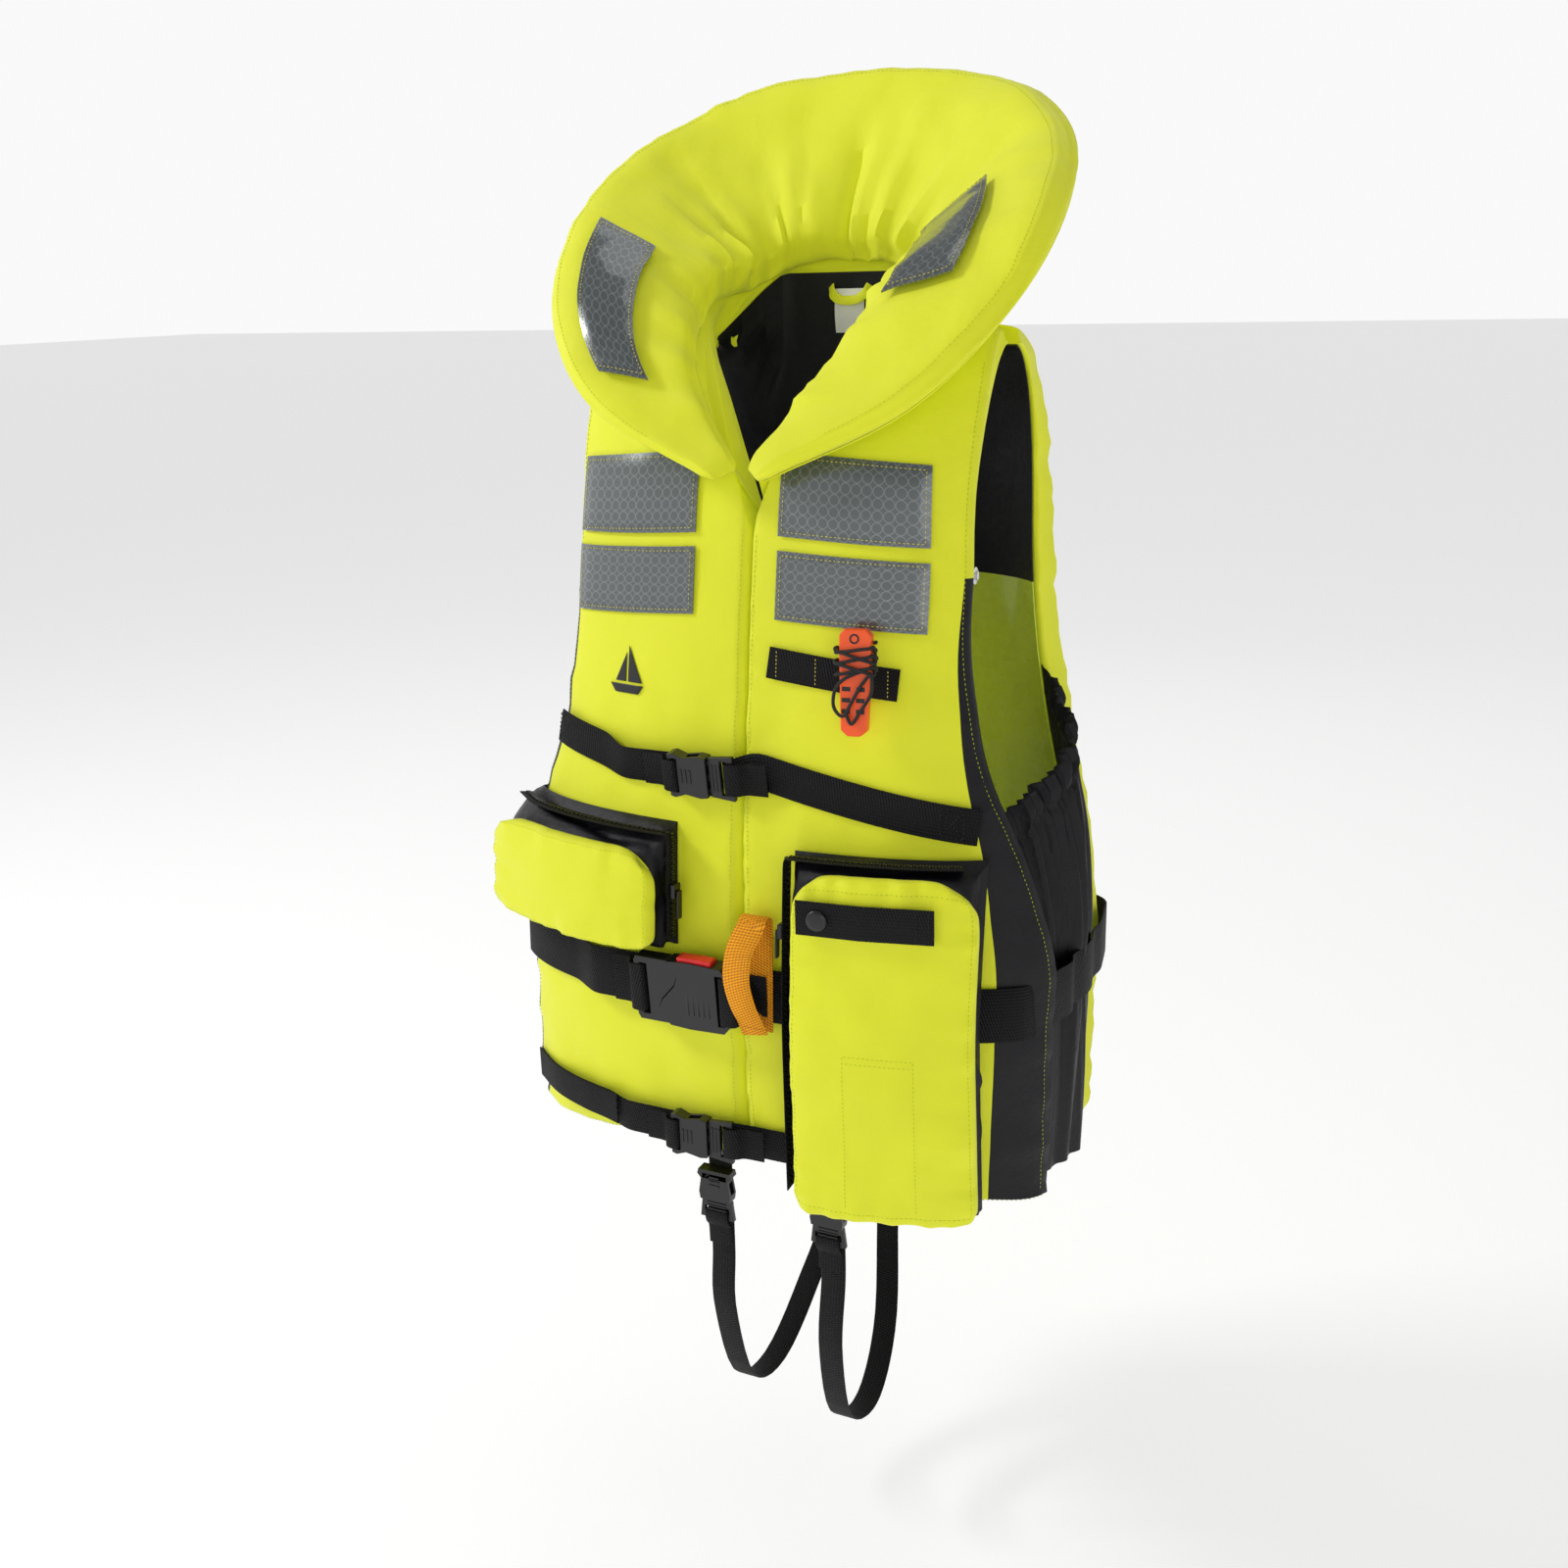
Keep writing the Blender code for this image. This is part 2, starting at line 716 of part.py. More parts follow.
def box_on(name, centre, axes, size, mat, origin=None):
    """A box on three axes."""
    x_axis, y_axis, z_axis = (np.asarray(a) * s / 2 for a, s in zip(axes, size))
    if np.dot(np.cross(x_axis, y_axis), z_axis) < 0:
        y_axis = -y_axis
    verts = [
        centre + x_axis * a + y_axis * b + z_axis * c
        for a, b, c in (
            (-1, -1, -1), (1, -1, -1), (1, 1, -1), (-1, 1, -1),
            (-1, -1, 1), (1, -1, 1), (1, 1, 1), (-1, 1, 1),
        )
    ]
    faces = [(3, 2, 1, 0), (4, 5, 6, 7), (0, 1, 5, 4), (1, 2, 6, 5), (2, 3, 7, 6), (3, 0, 4, 7)]
    return add_object(name, verts, faces, mat, centre if origin is None else origin, smooth=False)


FLAP = (0.057, 0.134, -0.374)   # flap strap: free end x, sewn end x, z
STUD_AT = 0.070
FLAP_LIFT = 0.0026


def build_flap():
    """The strap across the big pocket and the press stud that holds its free end."""
    free, sewn, z = FLAP
    above = POCKETS[1][6] + POCKETS[1][7] + FLAP_LIFT
    start = front_outer(free, z, above)
    stop = front_outer(sewn, z, above)
    middle = front_outer((free + sewn) / 2, z, above)
    ribbon("flap_strap", [start, middle, stop], (0, 0, 1), 0.025, WEBBING, black_webbing(), stop)
    normal = unit(np.cross(middle - start, (0, 0, 1)))
    stud = start + (middle - start) * ((STUD_AT - free) / ((sewn - free) / 2))
    cap = stud + normal * (WEBBING / 2 + GAP + 0.0013)
    cylinder("press_stud_cap", cap, normal, 0.0075, 0.0026, black_plastic())


# ---- straps and buckles -------------------------------------------------------------------
def buckle_frame(x, z, half_length):
    """Axis-aligned along x, tilted about x to lie flat on the front; y points inwards."""
    reach = [x - half_length, x, x + half_length]
    normal = front_normal(x if abs(x) > 0.004 else 0.004, z)
    tilt = math.atan2(-normal[2], -normal[1])
    front = min(front_outer(place, z)[1] for place in reach)
    stand_off = LIFT + WEBBING + 0.0034
    frame = Matrix.Translation((x, front - stand_off, z)) @ Matrix.Rotation(-tilt, 4, "X")
    return frame


def in_frame(frame, x, y, z):
    return np.array(frame @ Vector((x, y, z)))


def side_release(prefix, frame, width, mat, reach=1.0):
    """Socket and tongue; the tongue's prongs point along the frame's -x."""
    half = width / 2 + 0.0035
    thick = 0.010
    length = 0.030 * reach
    tongue_end = 0.020 * reach
    waist = half - 0.002
    outline = [
        (-length, -half), (-length + 0.004, -half - 0.001), (-0.018, -waist), (-0.006, -half),
        (0.0, -half + 0.001), (0.0, half - 0.001), (-0.006, half), (-0.018, waist),
        (-length + 0.004, half + 0.001), (-length, half),
    ]
    socket = prism(prefix + "_socket", outline, -thick, 0.0, frame, mat)
    inner, wide = half - 0.003, half + 0.010
    room_outline = [(-0.0185, -inner), (-0.0165, -inner), (-0.0165, -wide), (-0.0065, -wide),
                    (-0.0065, -inner), (0.0040, -inner)]
    room_outline += [(x, -z) for x, z in room_outline[::-1]]
    room = prism(prefix + "_room_guide", room_outline, -thick + 0.0022, -0.0022, frame, mat)
    cut(socket, room)
    bar = prism(prefix + "_bar_guide", rectangle(-length + 0.003, -length + 0.0072,
                -width / 2 - 0.0004, width / 2 + 0.0004), -thick - 0.005, 0.005, frame, mat)
    cut(socket, bar)

    prong = half - 0.0036
    tongue_outline = [
        (0.0006, -half + 0.001), (tongue_end, -half - 0.001), (tongue_end, half + 0.001),
        (0.0006, half - 0.001), (0.0006, prong), (-0.0165, prong), (-0.0165, prong - 0.003),
        (0.0006, prong - 0.004), (0.0006, 0.003), (-0.015, 0.0022), (-0.015, -0.0022),
        (0.0006, -0.003), (0.0006, -prong + 0.004), (-0.0165, -prong + 0.003),
        (-0.0165, -prong), (0.0006, -prong),
    ]
    tongue = prism(prefix + "_tongue", tongue_outline, -thick + 0.003, -0.003, frame, mat)
    slot = prism(prefix + "_slot_guide", rectangle(tongue_end - 0.010, tongue_end - 0.0055,
                 -width / 2 - 0.0004, width / 2 + 0.0004), -thick - 0.005, 0.005, frame, mat)
    cut(tongue, slot)


CHEST_AT = -0.020           # x where the socket meets the tongue
HEM_AT = -0.024
WAIST_AT = -0.044
STRAP_OUTER = -0.186        # where the wearer's right-hand straps are sewn on


def right_strap(name, start, frame, end, width, flat_from):
    """Webbing from the side seam to behind a buckle, straight where the buckle slides."""
    behind = 0.0008 + WEBBING / 2
    run, ways = front_run(start, (flat_from - 0.012, frame.translation.z))
    straight = [in_frame(frame, x - frame.translation.x, behind, 0.0)
                for x in (flat_from, flat_from + 0.02, end)]
    ways = ways + [np.array(frame.col[2][:3])] * 3
    return ribbon(name, run + straight, ways, width, WEBBING, black_webbing())


def left_strap(name, frame, start, stop, width):
    behind = 0.0008 + WEBBING / 2
    straight = [in_frame(frame, x - frame.translation.x, behind, 0.0)
                for x in (start, start + 0.012)]
    run, ways = front_run((start + 0.024, frame.translation.z), stop)
    ways = [np.array(frame.col[2][:3])] * 2 + ways
    return ribbon(name, straight + run, ways, width, WEBBING, black_webbing())


def build_chest():
    frame = buckle_frame(CHEST_AT, CHEST_Z, 0.070)
    side_release("chest_buckle", frame, CHEST_WEB, black_plastic())
    right_strap("chest_strap_r", (-0.148, CHEST_Z + 0.008), frame, CHEST_AT - 0.012,
                CHEST_WEB, CHEST_AT - 0.075)
    left_strap("chest_strap_l", frame, CHEST_AT + 0.008, (0.152, -0.318), CHEST_WEB)


def build_hem():
    frame = buckle_frame(HEM_AT, HEM_STRAP_Z, 0.070)
    side_release("hem_buckle", frame, HEM_WEB, black_plastic())
    right_strap("hem_strap_r", (STRAP_OUTER, HEM_STRAP_Z), frame, HEM_AT - 0.012,
                HEM_WEB, HEM_AT - 0.075)
    left_strap("hem_strap_l", frame, HEM_AT + 0.008, (0.0345, HEM_STRAP_Z), HEM_WEB)


def build_waist():
    """Big buckle: a ladder tongue, a housing with an S-shaped mouth and a press button."""
    frame = buckle_frame(WAIST_AT, WAIST_Z, 0.070)
    half = 0.026
    thick = 0.014
    mouth = [
        (0.008 * math.sin(math.pi * t) - 0.004, half * t) for t in np.linspace(-1.0, 1.0, 9)
    ]
    housing_outline = mouth + [
        (0.012, half + 0.001), (0.040, half), (0.045, half - 0.006), (0.046, 0.0),
        (0.045, -half + 0.006), (0.040, -half), (0.012, -half - 0.001),
    ]
    housing = prism("waist_buckle_housing", housing_outline, -thick, 0.0, frame, black_plastic())
    blade_room = prism("waist_blade_guide", rectangle(-0.030, 0.0255, -0.0165, 0.0135),
                       -0.0105, -0.0035, frame, black_plastic())
    cut(housing, blade_room)
    well = prism("waist_well_guide", rectangle(0.0035, 0.0325, half - 0.0095, half + 0.02),
                 -0.0125, -0.0015, frame, black_plastic())
    cut(housing, well)
    slot = prism("waist_slot_guide", rectangle(0.0355, 0.0410, -0.0204, 0.0204),
                 -0.03, 0.01, frame, black_plastic())
    cut(housing, slot)
    prism(
        "waist_button", rectangle(0.0040, 0.0320, half - 0.0055, half + 0.0035),
        -0.0120, -0.0020, frame, material("red_plastic", (0.75, 0.03, 0.03), 0.35),
    )

    edge = [(x - 0.0006, z) for x, z in mouth[::-1]]
    tongue_outline = [(-0.030, -half), (-0.032, -half + 0.004), (-0.032, half - 0.004),
                      (-0.030, half)] + edge
    tongue = prism("waist_buckle_tongue", tongue_outline, -0.0125, -0.0015, frame, black_plastic())
    blade = prism("waist_blade", rectangle(-0.016, 0.0235, -0.0155, 0.0125), -0.0095, -0.0045,
                  frame, black_plastic())
    fuse(tongue, blade)
    ladder = prism("waist_ladder_guide", rectangle(-0.0270, -0.0215, -0.0204, 0.0204),
                   -0.03, 0.01, frame, black_plastic())
    cut(tongue, ladder)
    flat = WAIST_AT - 0.078
    right_strap("waist_strap_r", (STRAP_OUTER, WAIST_Z), frame, WAIST_AT - 0.014, WAIST_WEB, flat)
    build_waist_left(frame)


def fuse(obj, other):
    other.hide_render = True
    other.display_type = "WIRE"
    mod = obj.modifiers.new("fuse", "BOOLEAN")
    mod.operation = "UNION"
    mod.object = other


def build_waist_left(frame):
    """Webbing from the housing behind the left pocket, round the back to the ring."""
    start = WAIST_AT + 0.030
    straight = [in_frame(frame, x - frame.translation.x, 0.0008 + WEBBING / 2, 0.0)
                for x in (start, start + 0.012)]
    front, ways = front_run((start + 0.024, WAIST_Z), (0.180, WAIST_Z), 0.0020)
    lift = 0.0048
    shares = np.linspace(0.22, 0.72, 5)
    corner = (0.88, 0.016)
    left = [side_point(1, 1 - corner[0], WAIST_Z, corner[1])]
    left += [side_point(1, q, WAIST_Z, lift) for q in shares]
    left.append(side_point(1, corner[0], WAIST_Z, corner[1]))
    back = [back_outer(x, WAIST_Z, lift) for x in np.linspace(0.150, -0.150, 11)]
    right = [side_point(-1, corner[0], WAIST_Z, corner[1])]
    right += [side_point(-1, q, WAIST_Z, lift) for q in shares[::-1]]
    round_body = left + back + right
    ways = [np.array(frame.col[2][:3])] * 2 + ways + [(0, 0, 1)] * len(round_body)
    route = straight + front + round_body
    ribbon("waist_strap_l", route, ways, WAIST_WEB, WEBBING, black_webbing())
    centre = side_point(-1, 0.02, WAIST_Z, 0.020)
    oval_ring("waist_ring", centre, 0.020, 0.008, 0.0022)


def oval_ring(name, centre, half_tall, half_wide, wire):
    """A metal ring standing upright, its plane facing sideways."""
    turns = 20
    sides = 8
    verts = []
    for k in range(turns):
        angle = 2 * math.pi * k / turns
        out = np.array([0.0, half_wide * math.cos(angle), half_tall * math.sin(angle)])
        radial = unit(np.array([0.0, math.cos(angle) / half_wide, math.sin(angle) / half_tall]))
        for m in range(sides):
            roll = 2 * math.pi * m / sides
            offset = radial * math.cos(roll) + np.array([1.0, 0.0, 0.0]) * math.sin(roll)
            verts.append(centre + out + offset * wire)
    faces = []
    for k in range(turns):
        for m in range(sides):
            a = k * sides + m
            b = k * sides + (m + 1) % sides
            c = ((k + 1) % turns) * sides + (m + 1) % sides
            d = ((k + 1) % turns) * sides + m
            faces.append((a, d, c, b))
    return add_object(name, verts, faces, steel(), centre)


# ---- fittings -----------------------------------------------------------------------------
BECKET_AT = (0.019, -0.470)  # sewn lower end of the lifting becket
BECKET_LENGTH = 0.088
BECKET_WIDTH = 0.021


def build_becket():
    """Webbing loop for lifting, sewn on at its lower end."""
    x, z = BECKET_AT
    foot = front_outer(x, z, LIFT + 0.006)
    normal = front_normal(x, z)
    rise = unit(front_outer(x, z + BECKET_LENGTH, LIFT + 0.006) - foot)
    radius = 0.007
    inner = [foot + rise * t * (BECKET_LENGTH - radius) for t in (0.0, 0.5, 1.0)]
    top = inner[-1]
    turn = []
    for angle in range(30, 180, 30):
        a = math.radians(angle)
        turn.append(top + rise * radius * math.sin(a) + normal * radius * (1 - math.cos(a)))
    outer = [point + normal * (2 * radius if t else radius * 1.1)
             for point, t in zip(inner[::-1], (1, 1, 0))]
    ribbon("lifting_becket", inner + turn + outer, (1, 0, 0), BECKET_WIDTH, WEBBING,
           material("orange_webbing", (0.95, 0.42, 0.02), 0.7), foot)


WHISTLE = (0.082, -0.182, 0.072, 0.022, 0.009)  # x, top z, length, width, thickness


def build_whistle():
    """Flat whistle hanging in front of its webbing keeper, with the cord wound round it."""
    x, top, length, width, thick = WHISTLE
    run, ways = front_run((0.019, -0.210), (0.104, -0.221), steps=5)
    ribbon("whistle_keeper", run, ways, 0.022, WEBBING, black_webbing())
    middle = front_outer(x, top - length / 2, LIFT + WEBBING + 0.010 + thick / 2)
    normal = front_normal(x, top - length / 2)
    along = unit(np.cross(-normal, (0, 0, 1)))
    rise = np.cross(along, -normal)
    frame = Matrix((
        (along[0], -normal[0], rise[0], middle[0]),
        (along[1], -normal[1], rise[1], middle[1]),
        (along[2], -normal[2], rise[2], middle[2]),
        (0, 0, 0, 1),
    ))
    h, w = length / 2, width / 2
    outline = [(-w * 0.82, -h + 0.004), (-w * 0.4, -h), (w * 0.4, -h), (w * 0.82, -h + 0.004),
               (w, h - 0.016), (w, h - 0.004), (w * 0.7, h), (-w * 0.7, h), (-w, h - 0.004),
               (-w, h - 0.016)]
    pivot = middle + rise * (h - 0.004)
    orange = material("orange_plastic", (0.95, 0.16, 0.02), 0.35)
    prism("whistle", outline, -thick / 2, thick / 2, frame, orange, pivot)
    wound = []
    turns = 2.5
    count = 30
    rx, ry = w + 0.0035, thick / 2 + 0.0035
    for i in range(count + 1):
        a = 2 * math.pi * turns * i / count
        cx, cy = math.cos(a), math.sin(a)
        reach = (abs(cx) ** 4 + abs(cy) ** 4) ** -0.25
        wound.append(in_frame(frame, rx * reach * cx, ry * reach * cy,
                              h - 0.018 - 0.020 * i / count))
    cord_tube("whistle_lanyard", wound, 0.0012, pivot)


def cord_tube(name, points, radius, origin):
    """A round cord through points, with closed ends."""
    curve = bpy.data.curves.new(name, "CURVE")
    curve.dimensions = "3D"
    curve.bevel_depth = radius
    curve.bevel_resolution = 2
    curve.use_fill_caps = True
    curve.render_resolution_u = 0
    spline = curve.splines.new("POLY")
    spline.points.add(len(points) - 1)
    for target, point in zip(spline.points, points):
        target.co = (*(np.asarray(point) - origin), 1.0)
    curve.materials.append(material("black_cord", (0.01, 0.01, 0.01), 0.8))
    obj = bpy.data.objects.new(name, curve)
    obj.location = origin
    bpy.context.scene.collection.objects.link(obj)
    return obj


def tape_patch(name, surface, side):
    """A reflective patch over a surface(u, v) that gives points and normals."""
    columns, rows = 4, 2
    top, bottom = [], []
    for j in range(rows + 1):
        for i in range(columns + 1):
            point, normal = surface(i / columns, j / rows)
            top.append(point + normal * (LIFT + 0.0006))
            bottom.append(point + normal * LIFT)
    add_object(name, *slab(top, bottom, columns, rows, mirror_lean(side)), reflective_tape())


# Chest patches: tag, side, inner x, outer x; each side has an upper and a lower one.
CHEST_TAPE = (("r", -1, 0.040, 0.1335), ("l", 1, 0.022, 0.118))
TAPE_HEIGHTS = (("upper", -0.096), ("lower", -0.156))
TAPE_DROP = 0.006           # the outer end lies this much lower
# Collar patches: tag, side, place round the collar and from its base to its rim.
COLLAR_TAPE = (("r", -1, 0.130, 0.57), ("l", 1, 0.800, 0.42))
COLLAR_TAPE_SPAN = (0.112, 0.40)


def build_tape():
    for tag, side, inner, outer in CHEST_TAPE:
        for level, middle in TAPE_HEIGHTS:
            def on_chest(u, v):
                share = u if side > 0 else 1 - u
                x = side * (inner + (outer - inner) * share)
                z = middle - TAPE_DROP * share + TAPE[1] * (v - 0.5)
                return front_outer(x, z), front_normal(x, z)
            tape_patch("chest_tape_" + level + "_" + tag, on_chest, side)

    collar = collar_panel()
    for tag, side, around, rise_at in COLLAR_TAPE:
        def on_collar(u, v):
            share = around + COLLAR_TAPE_SPAN[0] * (u - 0.5)
            rise = rise_at + COLLAR_TAPE_SPAN[1] * (v - 0.5)
            normal = collar.normal(share, rise)
            surface = collar.place(share, rise) + normal * collar.height(share, rise)
            return surface + normal * 0.001, normal
        tape_patch("collar_tape_" + tag, on_collar, side)


def build_armhole_stud():
    """Press stud on the armhole edge of the left front panel, for clipping on a light."""
    z = -0.150
    x = column(PANEL_EDGES, 1, z)
    wall = front_base(x, z) + front_normal(x, z) * 0.006
    centre = wall + np.array([0.0042, 0.0, 0.0])
    cylinder("armhole_stud", centre, (1, 0, 0), 0.006, 0.003, steel(), 20)


# Thigh straps: tag, front x, back x, lowest z, x of the lowest point.
THIGHS = (("r", -0.034, -0.028, -0.846, -0.042), ("l", 0.060, 0.018, -0.860, 0.046))
TAB_LENGTH = 0.020
THIGH_Y = -0.118


def build_thigh(tag, front_x, back_x, low, low_x):
    """Hem tab, the two halves of a small buckle and the strap back to the rear hem."""
    hang = HEM_Z - 0.006
    tilt = Matrix.Rotation(math.radians(90), 4, "Y")
    top_z = hang - TAB_LENGTH
    frame = Matrix.Translation((front_x, THIGH_Y, top_z - 0.021)) @ tilt
    tab = [(front_x, THIGH_Y + 0.002, hang), (front_x, THIGH_Y + 0.0018, top_z + 0.002),
           (front_x, THIGH_Y + 0.0018, top_z - 0.008)]
    anchor = (front_x, THIGH_Y, hang)
    ribbon("thigh_tab_" + tag, tab, (1, 0, 0), THIGH_WEB, WEBBING, black_webbing(), anchor)
    side_release("thigh_buckle_" + tag, frame, THIGH_WEB, black_plastic(), 0.85)
    start = top_z - 0.026
    route = [
        (front_x, THIGH_Y + 0.0018, start), (front_x, THIGH_Y + 0.0018, start - 0.045),
        (front_x + (low_x - front_x) * 0.4, -0.112, low + 0.110),
        (low_x, -0.075, low + 0.022), (low_x, -0.020, low),
        (low_x + (back_x - low_x) * 0.3, 0.040, low + 0.035),
        (back_x, 0.095, low + 0.110), (back_x, 0.108, SIDE_HEM_Z - 0.006),
    ]
    dense = spline_through(route, 34)
    ribbon("thigh_strap_" + tag, dense, (1, 0, 0), THIGH_WEB, WEBBING, black_webbing(), anchor)


def spline_through(route, count):
    """Evenly indexed points on a Catmull-Rom curve through a route."""
    route = [np.asarray(p, dtype=float) for p in route]
    padded = [2 * route[0] - route[1]] + route + [2 * route[-1] - route[-2]]
    points = []
    for s in np.linspace(0, len(route) - 1 - 1e-9, count):
        i = int(s)
        t = s - i
        a, b, c, d = padded[i:i + 4]
        points.append(0.5 * (2 * b + (c - a) * t + (2 * a - 5 * b + 4 * c - d) * t ** 2
                             + (3 * b - a - 3 * c + d) * t ** 3))
    return points


def main():
    clear_scene()
    build_panels()
    build_collar()
    build_sides()
    for pocket in POCKETS:
        build_pocket(*pocket)
    build_flap()
    build_chest()
    build_waist()
    build_hem()
    build_becket()
    build_whistle()
    build_tape()
    build_armhole_stud()
    for thigh in THIGHS:
        build_thigh(*thigh)


main()
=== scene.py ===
"""Looks of the foam life jacket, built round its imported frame.

Everything is in metres: +Z up, the front faces -Y, +X is the wearer's left.
The torso surfaces repeat the frame's own formulas, so that every piece lies on it.
"""
import math

import bmesh
import bpy
import numpy as np
from mathutils import Matrix, Vector, noise


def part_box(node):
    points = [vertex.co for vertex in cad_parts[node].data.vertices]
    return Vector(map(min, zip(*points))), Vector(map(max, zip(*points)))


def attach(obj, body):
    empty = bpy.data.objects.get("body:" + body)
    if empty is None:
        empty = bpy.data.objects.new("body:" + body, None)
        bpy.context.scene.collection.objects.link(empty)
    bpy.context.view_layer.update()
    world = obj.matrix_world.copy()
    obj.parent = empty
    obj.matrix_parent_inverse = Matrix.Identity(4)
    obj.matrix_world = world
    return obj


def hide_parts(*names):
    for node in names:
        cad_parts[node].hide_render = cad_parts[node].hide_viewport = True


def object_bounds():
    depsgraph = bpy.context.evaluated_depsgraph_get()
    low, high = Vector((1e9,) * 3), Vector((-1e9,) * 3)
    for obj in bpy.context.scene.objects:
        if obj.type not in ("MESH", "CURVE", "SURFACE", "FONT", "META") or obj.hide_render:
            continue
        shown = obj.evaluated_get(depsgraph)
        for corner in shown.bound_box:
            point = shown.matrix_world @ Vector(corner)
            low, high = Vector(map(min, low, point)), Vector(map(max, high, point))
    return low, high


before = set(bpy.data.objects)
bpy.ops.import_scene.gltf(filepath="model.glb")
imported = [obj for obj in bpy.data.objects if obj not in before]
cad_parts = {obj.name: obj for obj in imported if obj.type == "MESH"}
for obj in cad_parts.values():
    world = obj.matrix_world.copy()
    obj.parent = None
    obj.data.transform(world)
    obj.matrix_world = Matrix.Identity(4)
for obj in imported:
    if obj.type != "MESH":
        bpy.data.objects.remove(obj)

CAD_BOX = [[float(x) for x in corner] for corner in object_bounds()]

# ---- the frame's dimensions ---------------------------------------------------------------
GAP = 0.0003
WEBBING = 0.0016
LIFT = 0.0012
HEM_Z = -0.585
SIDE_HEM_Z = -0.600
SHOULDER_HALF = 0.155
NECK_HALF = 0.085
NECK_BACK_Z = 0.050
V_Z = -0.122
SQUARENESS = 2.6
CHEST_Z, WAIST_Z, HEM_STRAP_Z = -0.286, -0.446, -0.564
CHEST_AT, WAIST_AT, HEM_AT = -0.020, -0.044, -0.024
STRAP_OUTER = -0.186
SHOULDER_ARC = 0.130
COLLAR_FOAM = 0.030
NARROW_WEB, WAIST_WEB, THIGH_WEB = 0.025, 0.040, 0.020
BEHIND = 0.0008 + WEBBING / 2

SECTIONS = np.array((
    (-0.640, 0.202, 0.100, 0.098),
    (-0.450, 0.212, 0.101, 0.098),
    (-0.350, 0.204, 0.093, 0.094),
    (-0.250, 0.182, 0.080, 0.088),
    (-0.150, 0.168, 0.069, 0.083),
    (0.060, 0.168, 0.069, 0.083),
))
PANEL_EDGES = np.array((
    (-0.640, 0.190, 0.188),
    (-0.420, 0.197, 0.194),
    (-0.350, 0.182, 0.184),
    (-0.280, 0.153, 0.168),
    (-0.200, 0.140, 0.158),
    (-0.100, 0.140, 0.156),
    (0.060, 0.155, 0.155),
))
FOAM = np.array((
    (-0.640, 0.038, 0.026),
    (-0.250, 0.040, 0.028),
    (-0.150, 0.036, 0.026),
    (-0.080, 0.026, 0.020),
    (0.000, 0.017, 0.017),
    (0.060, 0.012, 0.012),
))
COLLAR_BASE = (
    (0.00, 0.000, 0.084, 0.060),
    (0.20, 0.046, 0.076, 0.054),
    (0.40, 0.070, 0.042, 0.038),
    (0.60, 0.074, -0.010, 0.028),
    (0.75, 0.060, -0.062, -0.004),
    (0.88, 0.036, -0.088, -0.044),
    (1.00, 0.009, -0.105, -0.076),
)
COLLAR_RIM = (
    (0.00, 0.000, 0.162, 0.186),
    (0.20, 0.100, 0.146, 0.176),
    (0.40, 0.164, 0.086, 0.140),
    (0.60, 0.187, 0.012, 0.090),
    (0.75, 0.173, -0.056, 0.028),
    (0.88, 0.118, -0.103, -0.036),
    (1.00, 0.020, -0.116, -0.082),
)
# Pocket: tag, side, inner x, outer x, bottom z, top z, depth, lift off the cover.
POCKETS = (
    ("r", -1, 0.048, 0.186, -0.420, -0.330, 0.034, LIFT),
    ("l", 1, 0.044, 0.158, -0.594, -0.338, 0.030, 0.0060),
)
BLUR = np.array((-0.024, -0.012, 0.0, 0.012, 0.024))


# ---- surfaces -----------------------------------------------------------------------------
def column(table, index, z):
    """A table's column at a height, with its corners rounded off."""
    return float(np.interp(z + BLUR, table[:, 0], table[:, index]).mean())


def unit(vector):
    vector = np.asarray(vector, dtype=float)
    return vector / np.linalg.norm(vector)


def smoothstep(low, high, value):
    t = min(max((value - low) / (high - low), 0.0), 1.0)
    return t * t * (3 - 2 * t)


def waver(x, y, z):
    """Smooth noise, about -1 to 1."""
    return noise.noise(Vector((x, y, z)))


def ripple(x, y, z, scale):
    return waver(x * scale, y * scale, z * scale)


def smooth_curve(table, share):
    shares = [row[0] for row in table]
    points = [np.array(row[1:]) for row in table]
    span = int(np.clip(np.searchsorted(shares, share, side="right") - 1, 0, len(shares) - 2))
    start, stop = points[span], points[span + 1]
    before = points[span - 1] if span > 0 else points[1] * np.array([-1.0, 1.0, 1.0])
    after = points[span + 2] if span + 2 < len(points) else 2 * stop - start
    t = (share - shares[span]) / (shares[span + 1] - shares[span])
    return 0.5 * (
        2 * start
        + (stop - before) * t
        + (2 * before - 5 * start + 4 * stop - after) * t ** 2
        + (3 * start - before - 3 * stop + after) * t ** 3
    )


def shoulder_close(z):
    rise = max(0.0, (z + SHOULDER_ARC) / SHOULDER_ARC)
    return math.sqrt(max(0.0, 1.0 - min(rise, 1.0) ** 2.5))


def section_depth(x, z, index):
    across = min(abs(x) / column(SECTIONS, 1, z), 0.985)
    return column(SECTIONS, index, z) * (1.0 - across ** SQUARENESS) ** (1.0 / SQUARENESS)


def front_base(x, z):
    return np.array([x, -section_depth(x, z, 2) * shoulder_close(z), z])


def neck_share(x):
    return smoothstep(0.055, NECK_HALF, abs(x))


def back_base(x, z):
    closed = shoulder_close(z)
    keep = closed + (1.0 - closed) * (1.0 - neck_share(x))
    return np.array([x, section_depth(x, z, 3) * keep, z])


def surface_normal(base, x, z, outward):
    step = 0.0015
    high = min(z + step, -0.0005) if z < 0 else z + step
    across = base(x + step, z) - base(x - step, z)
    along = base(x, high) - base(x, z - step)
    return unit(np.cross(along, across)) * outward


def front_normal(x, z):
    return surface_normal(front_base, x, min(z, -0.002), -1)


def back_normal(x, z):
    return surface_normal(back_base, x, min(z, -0.002), 1)


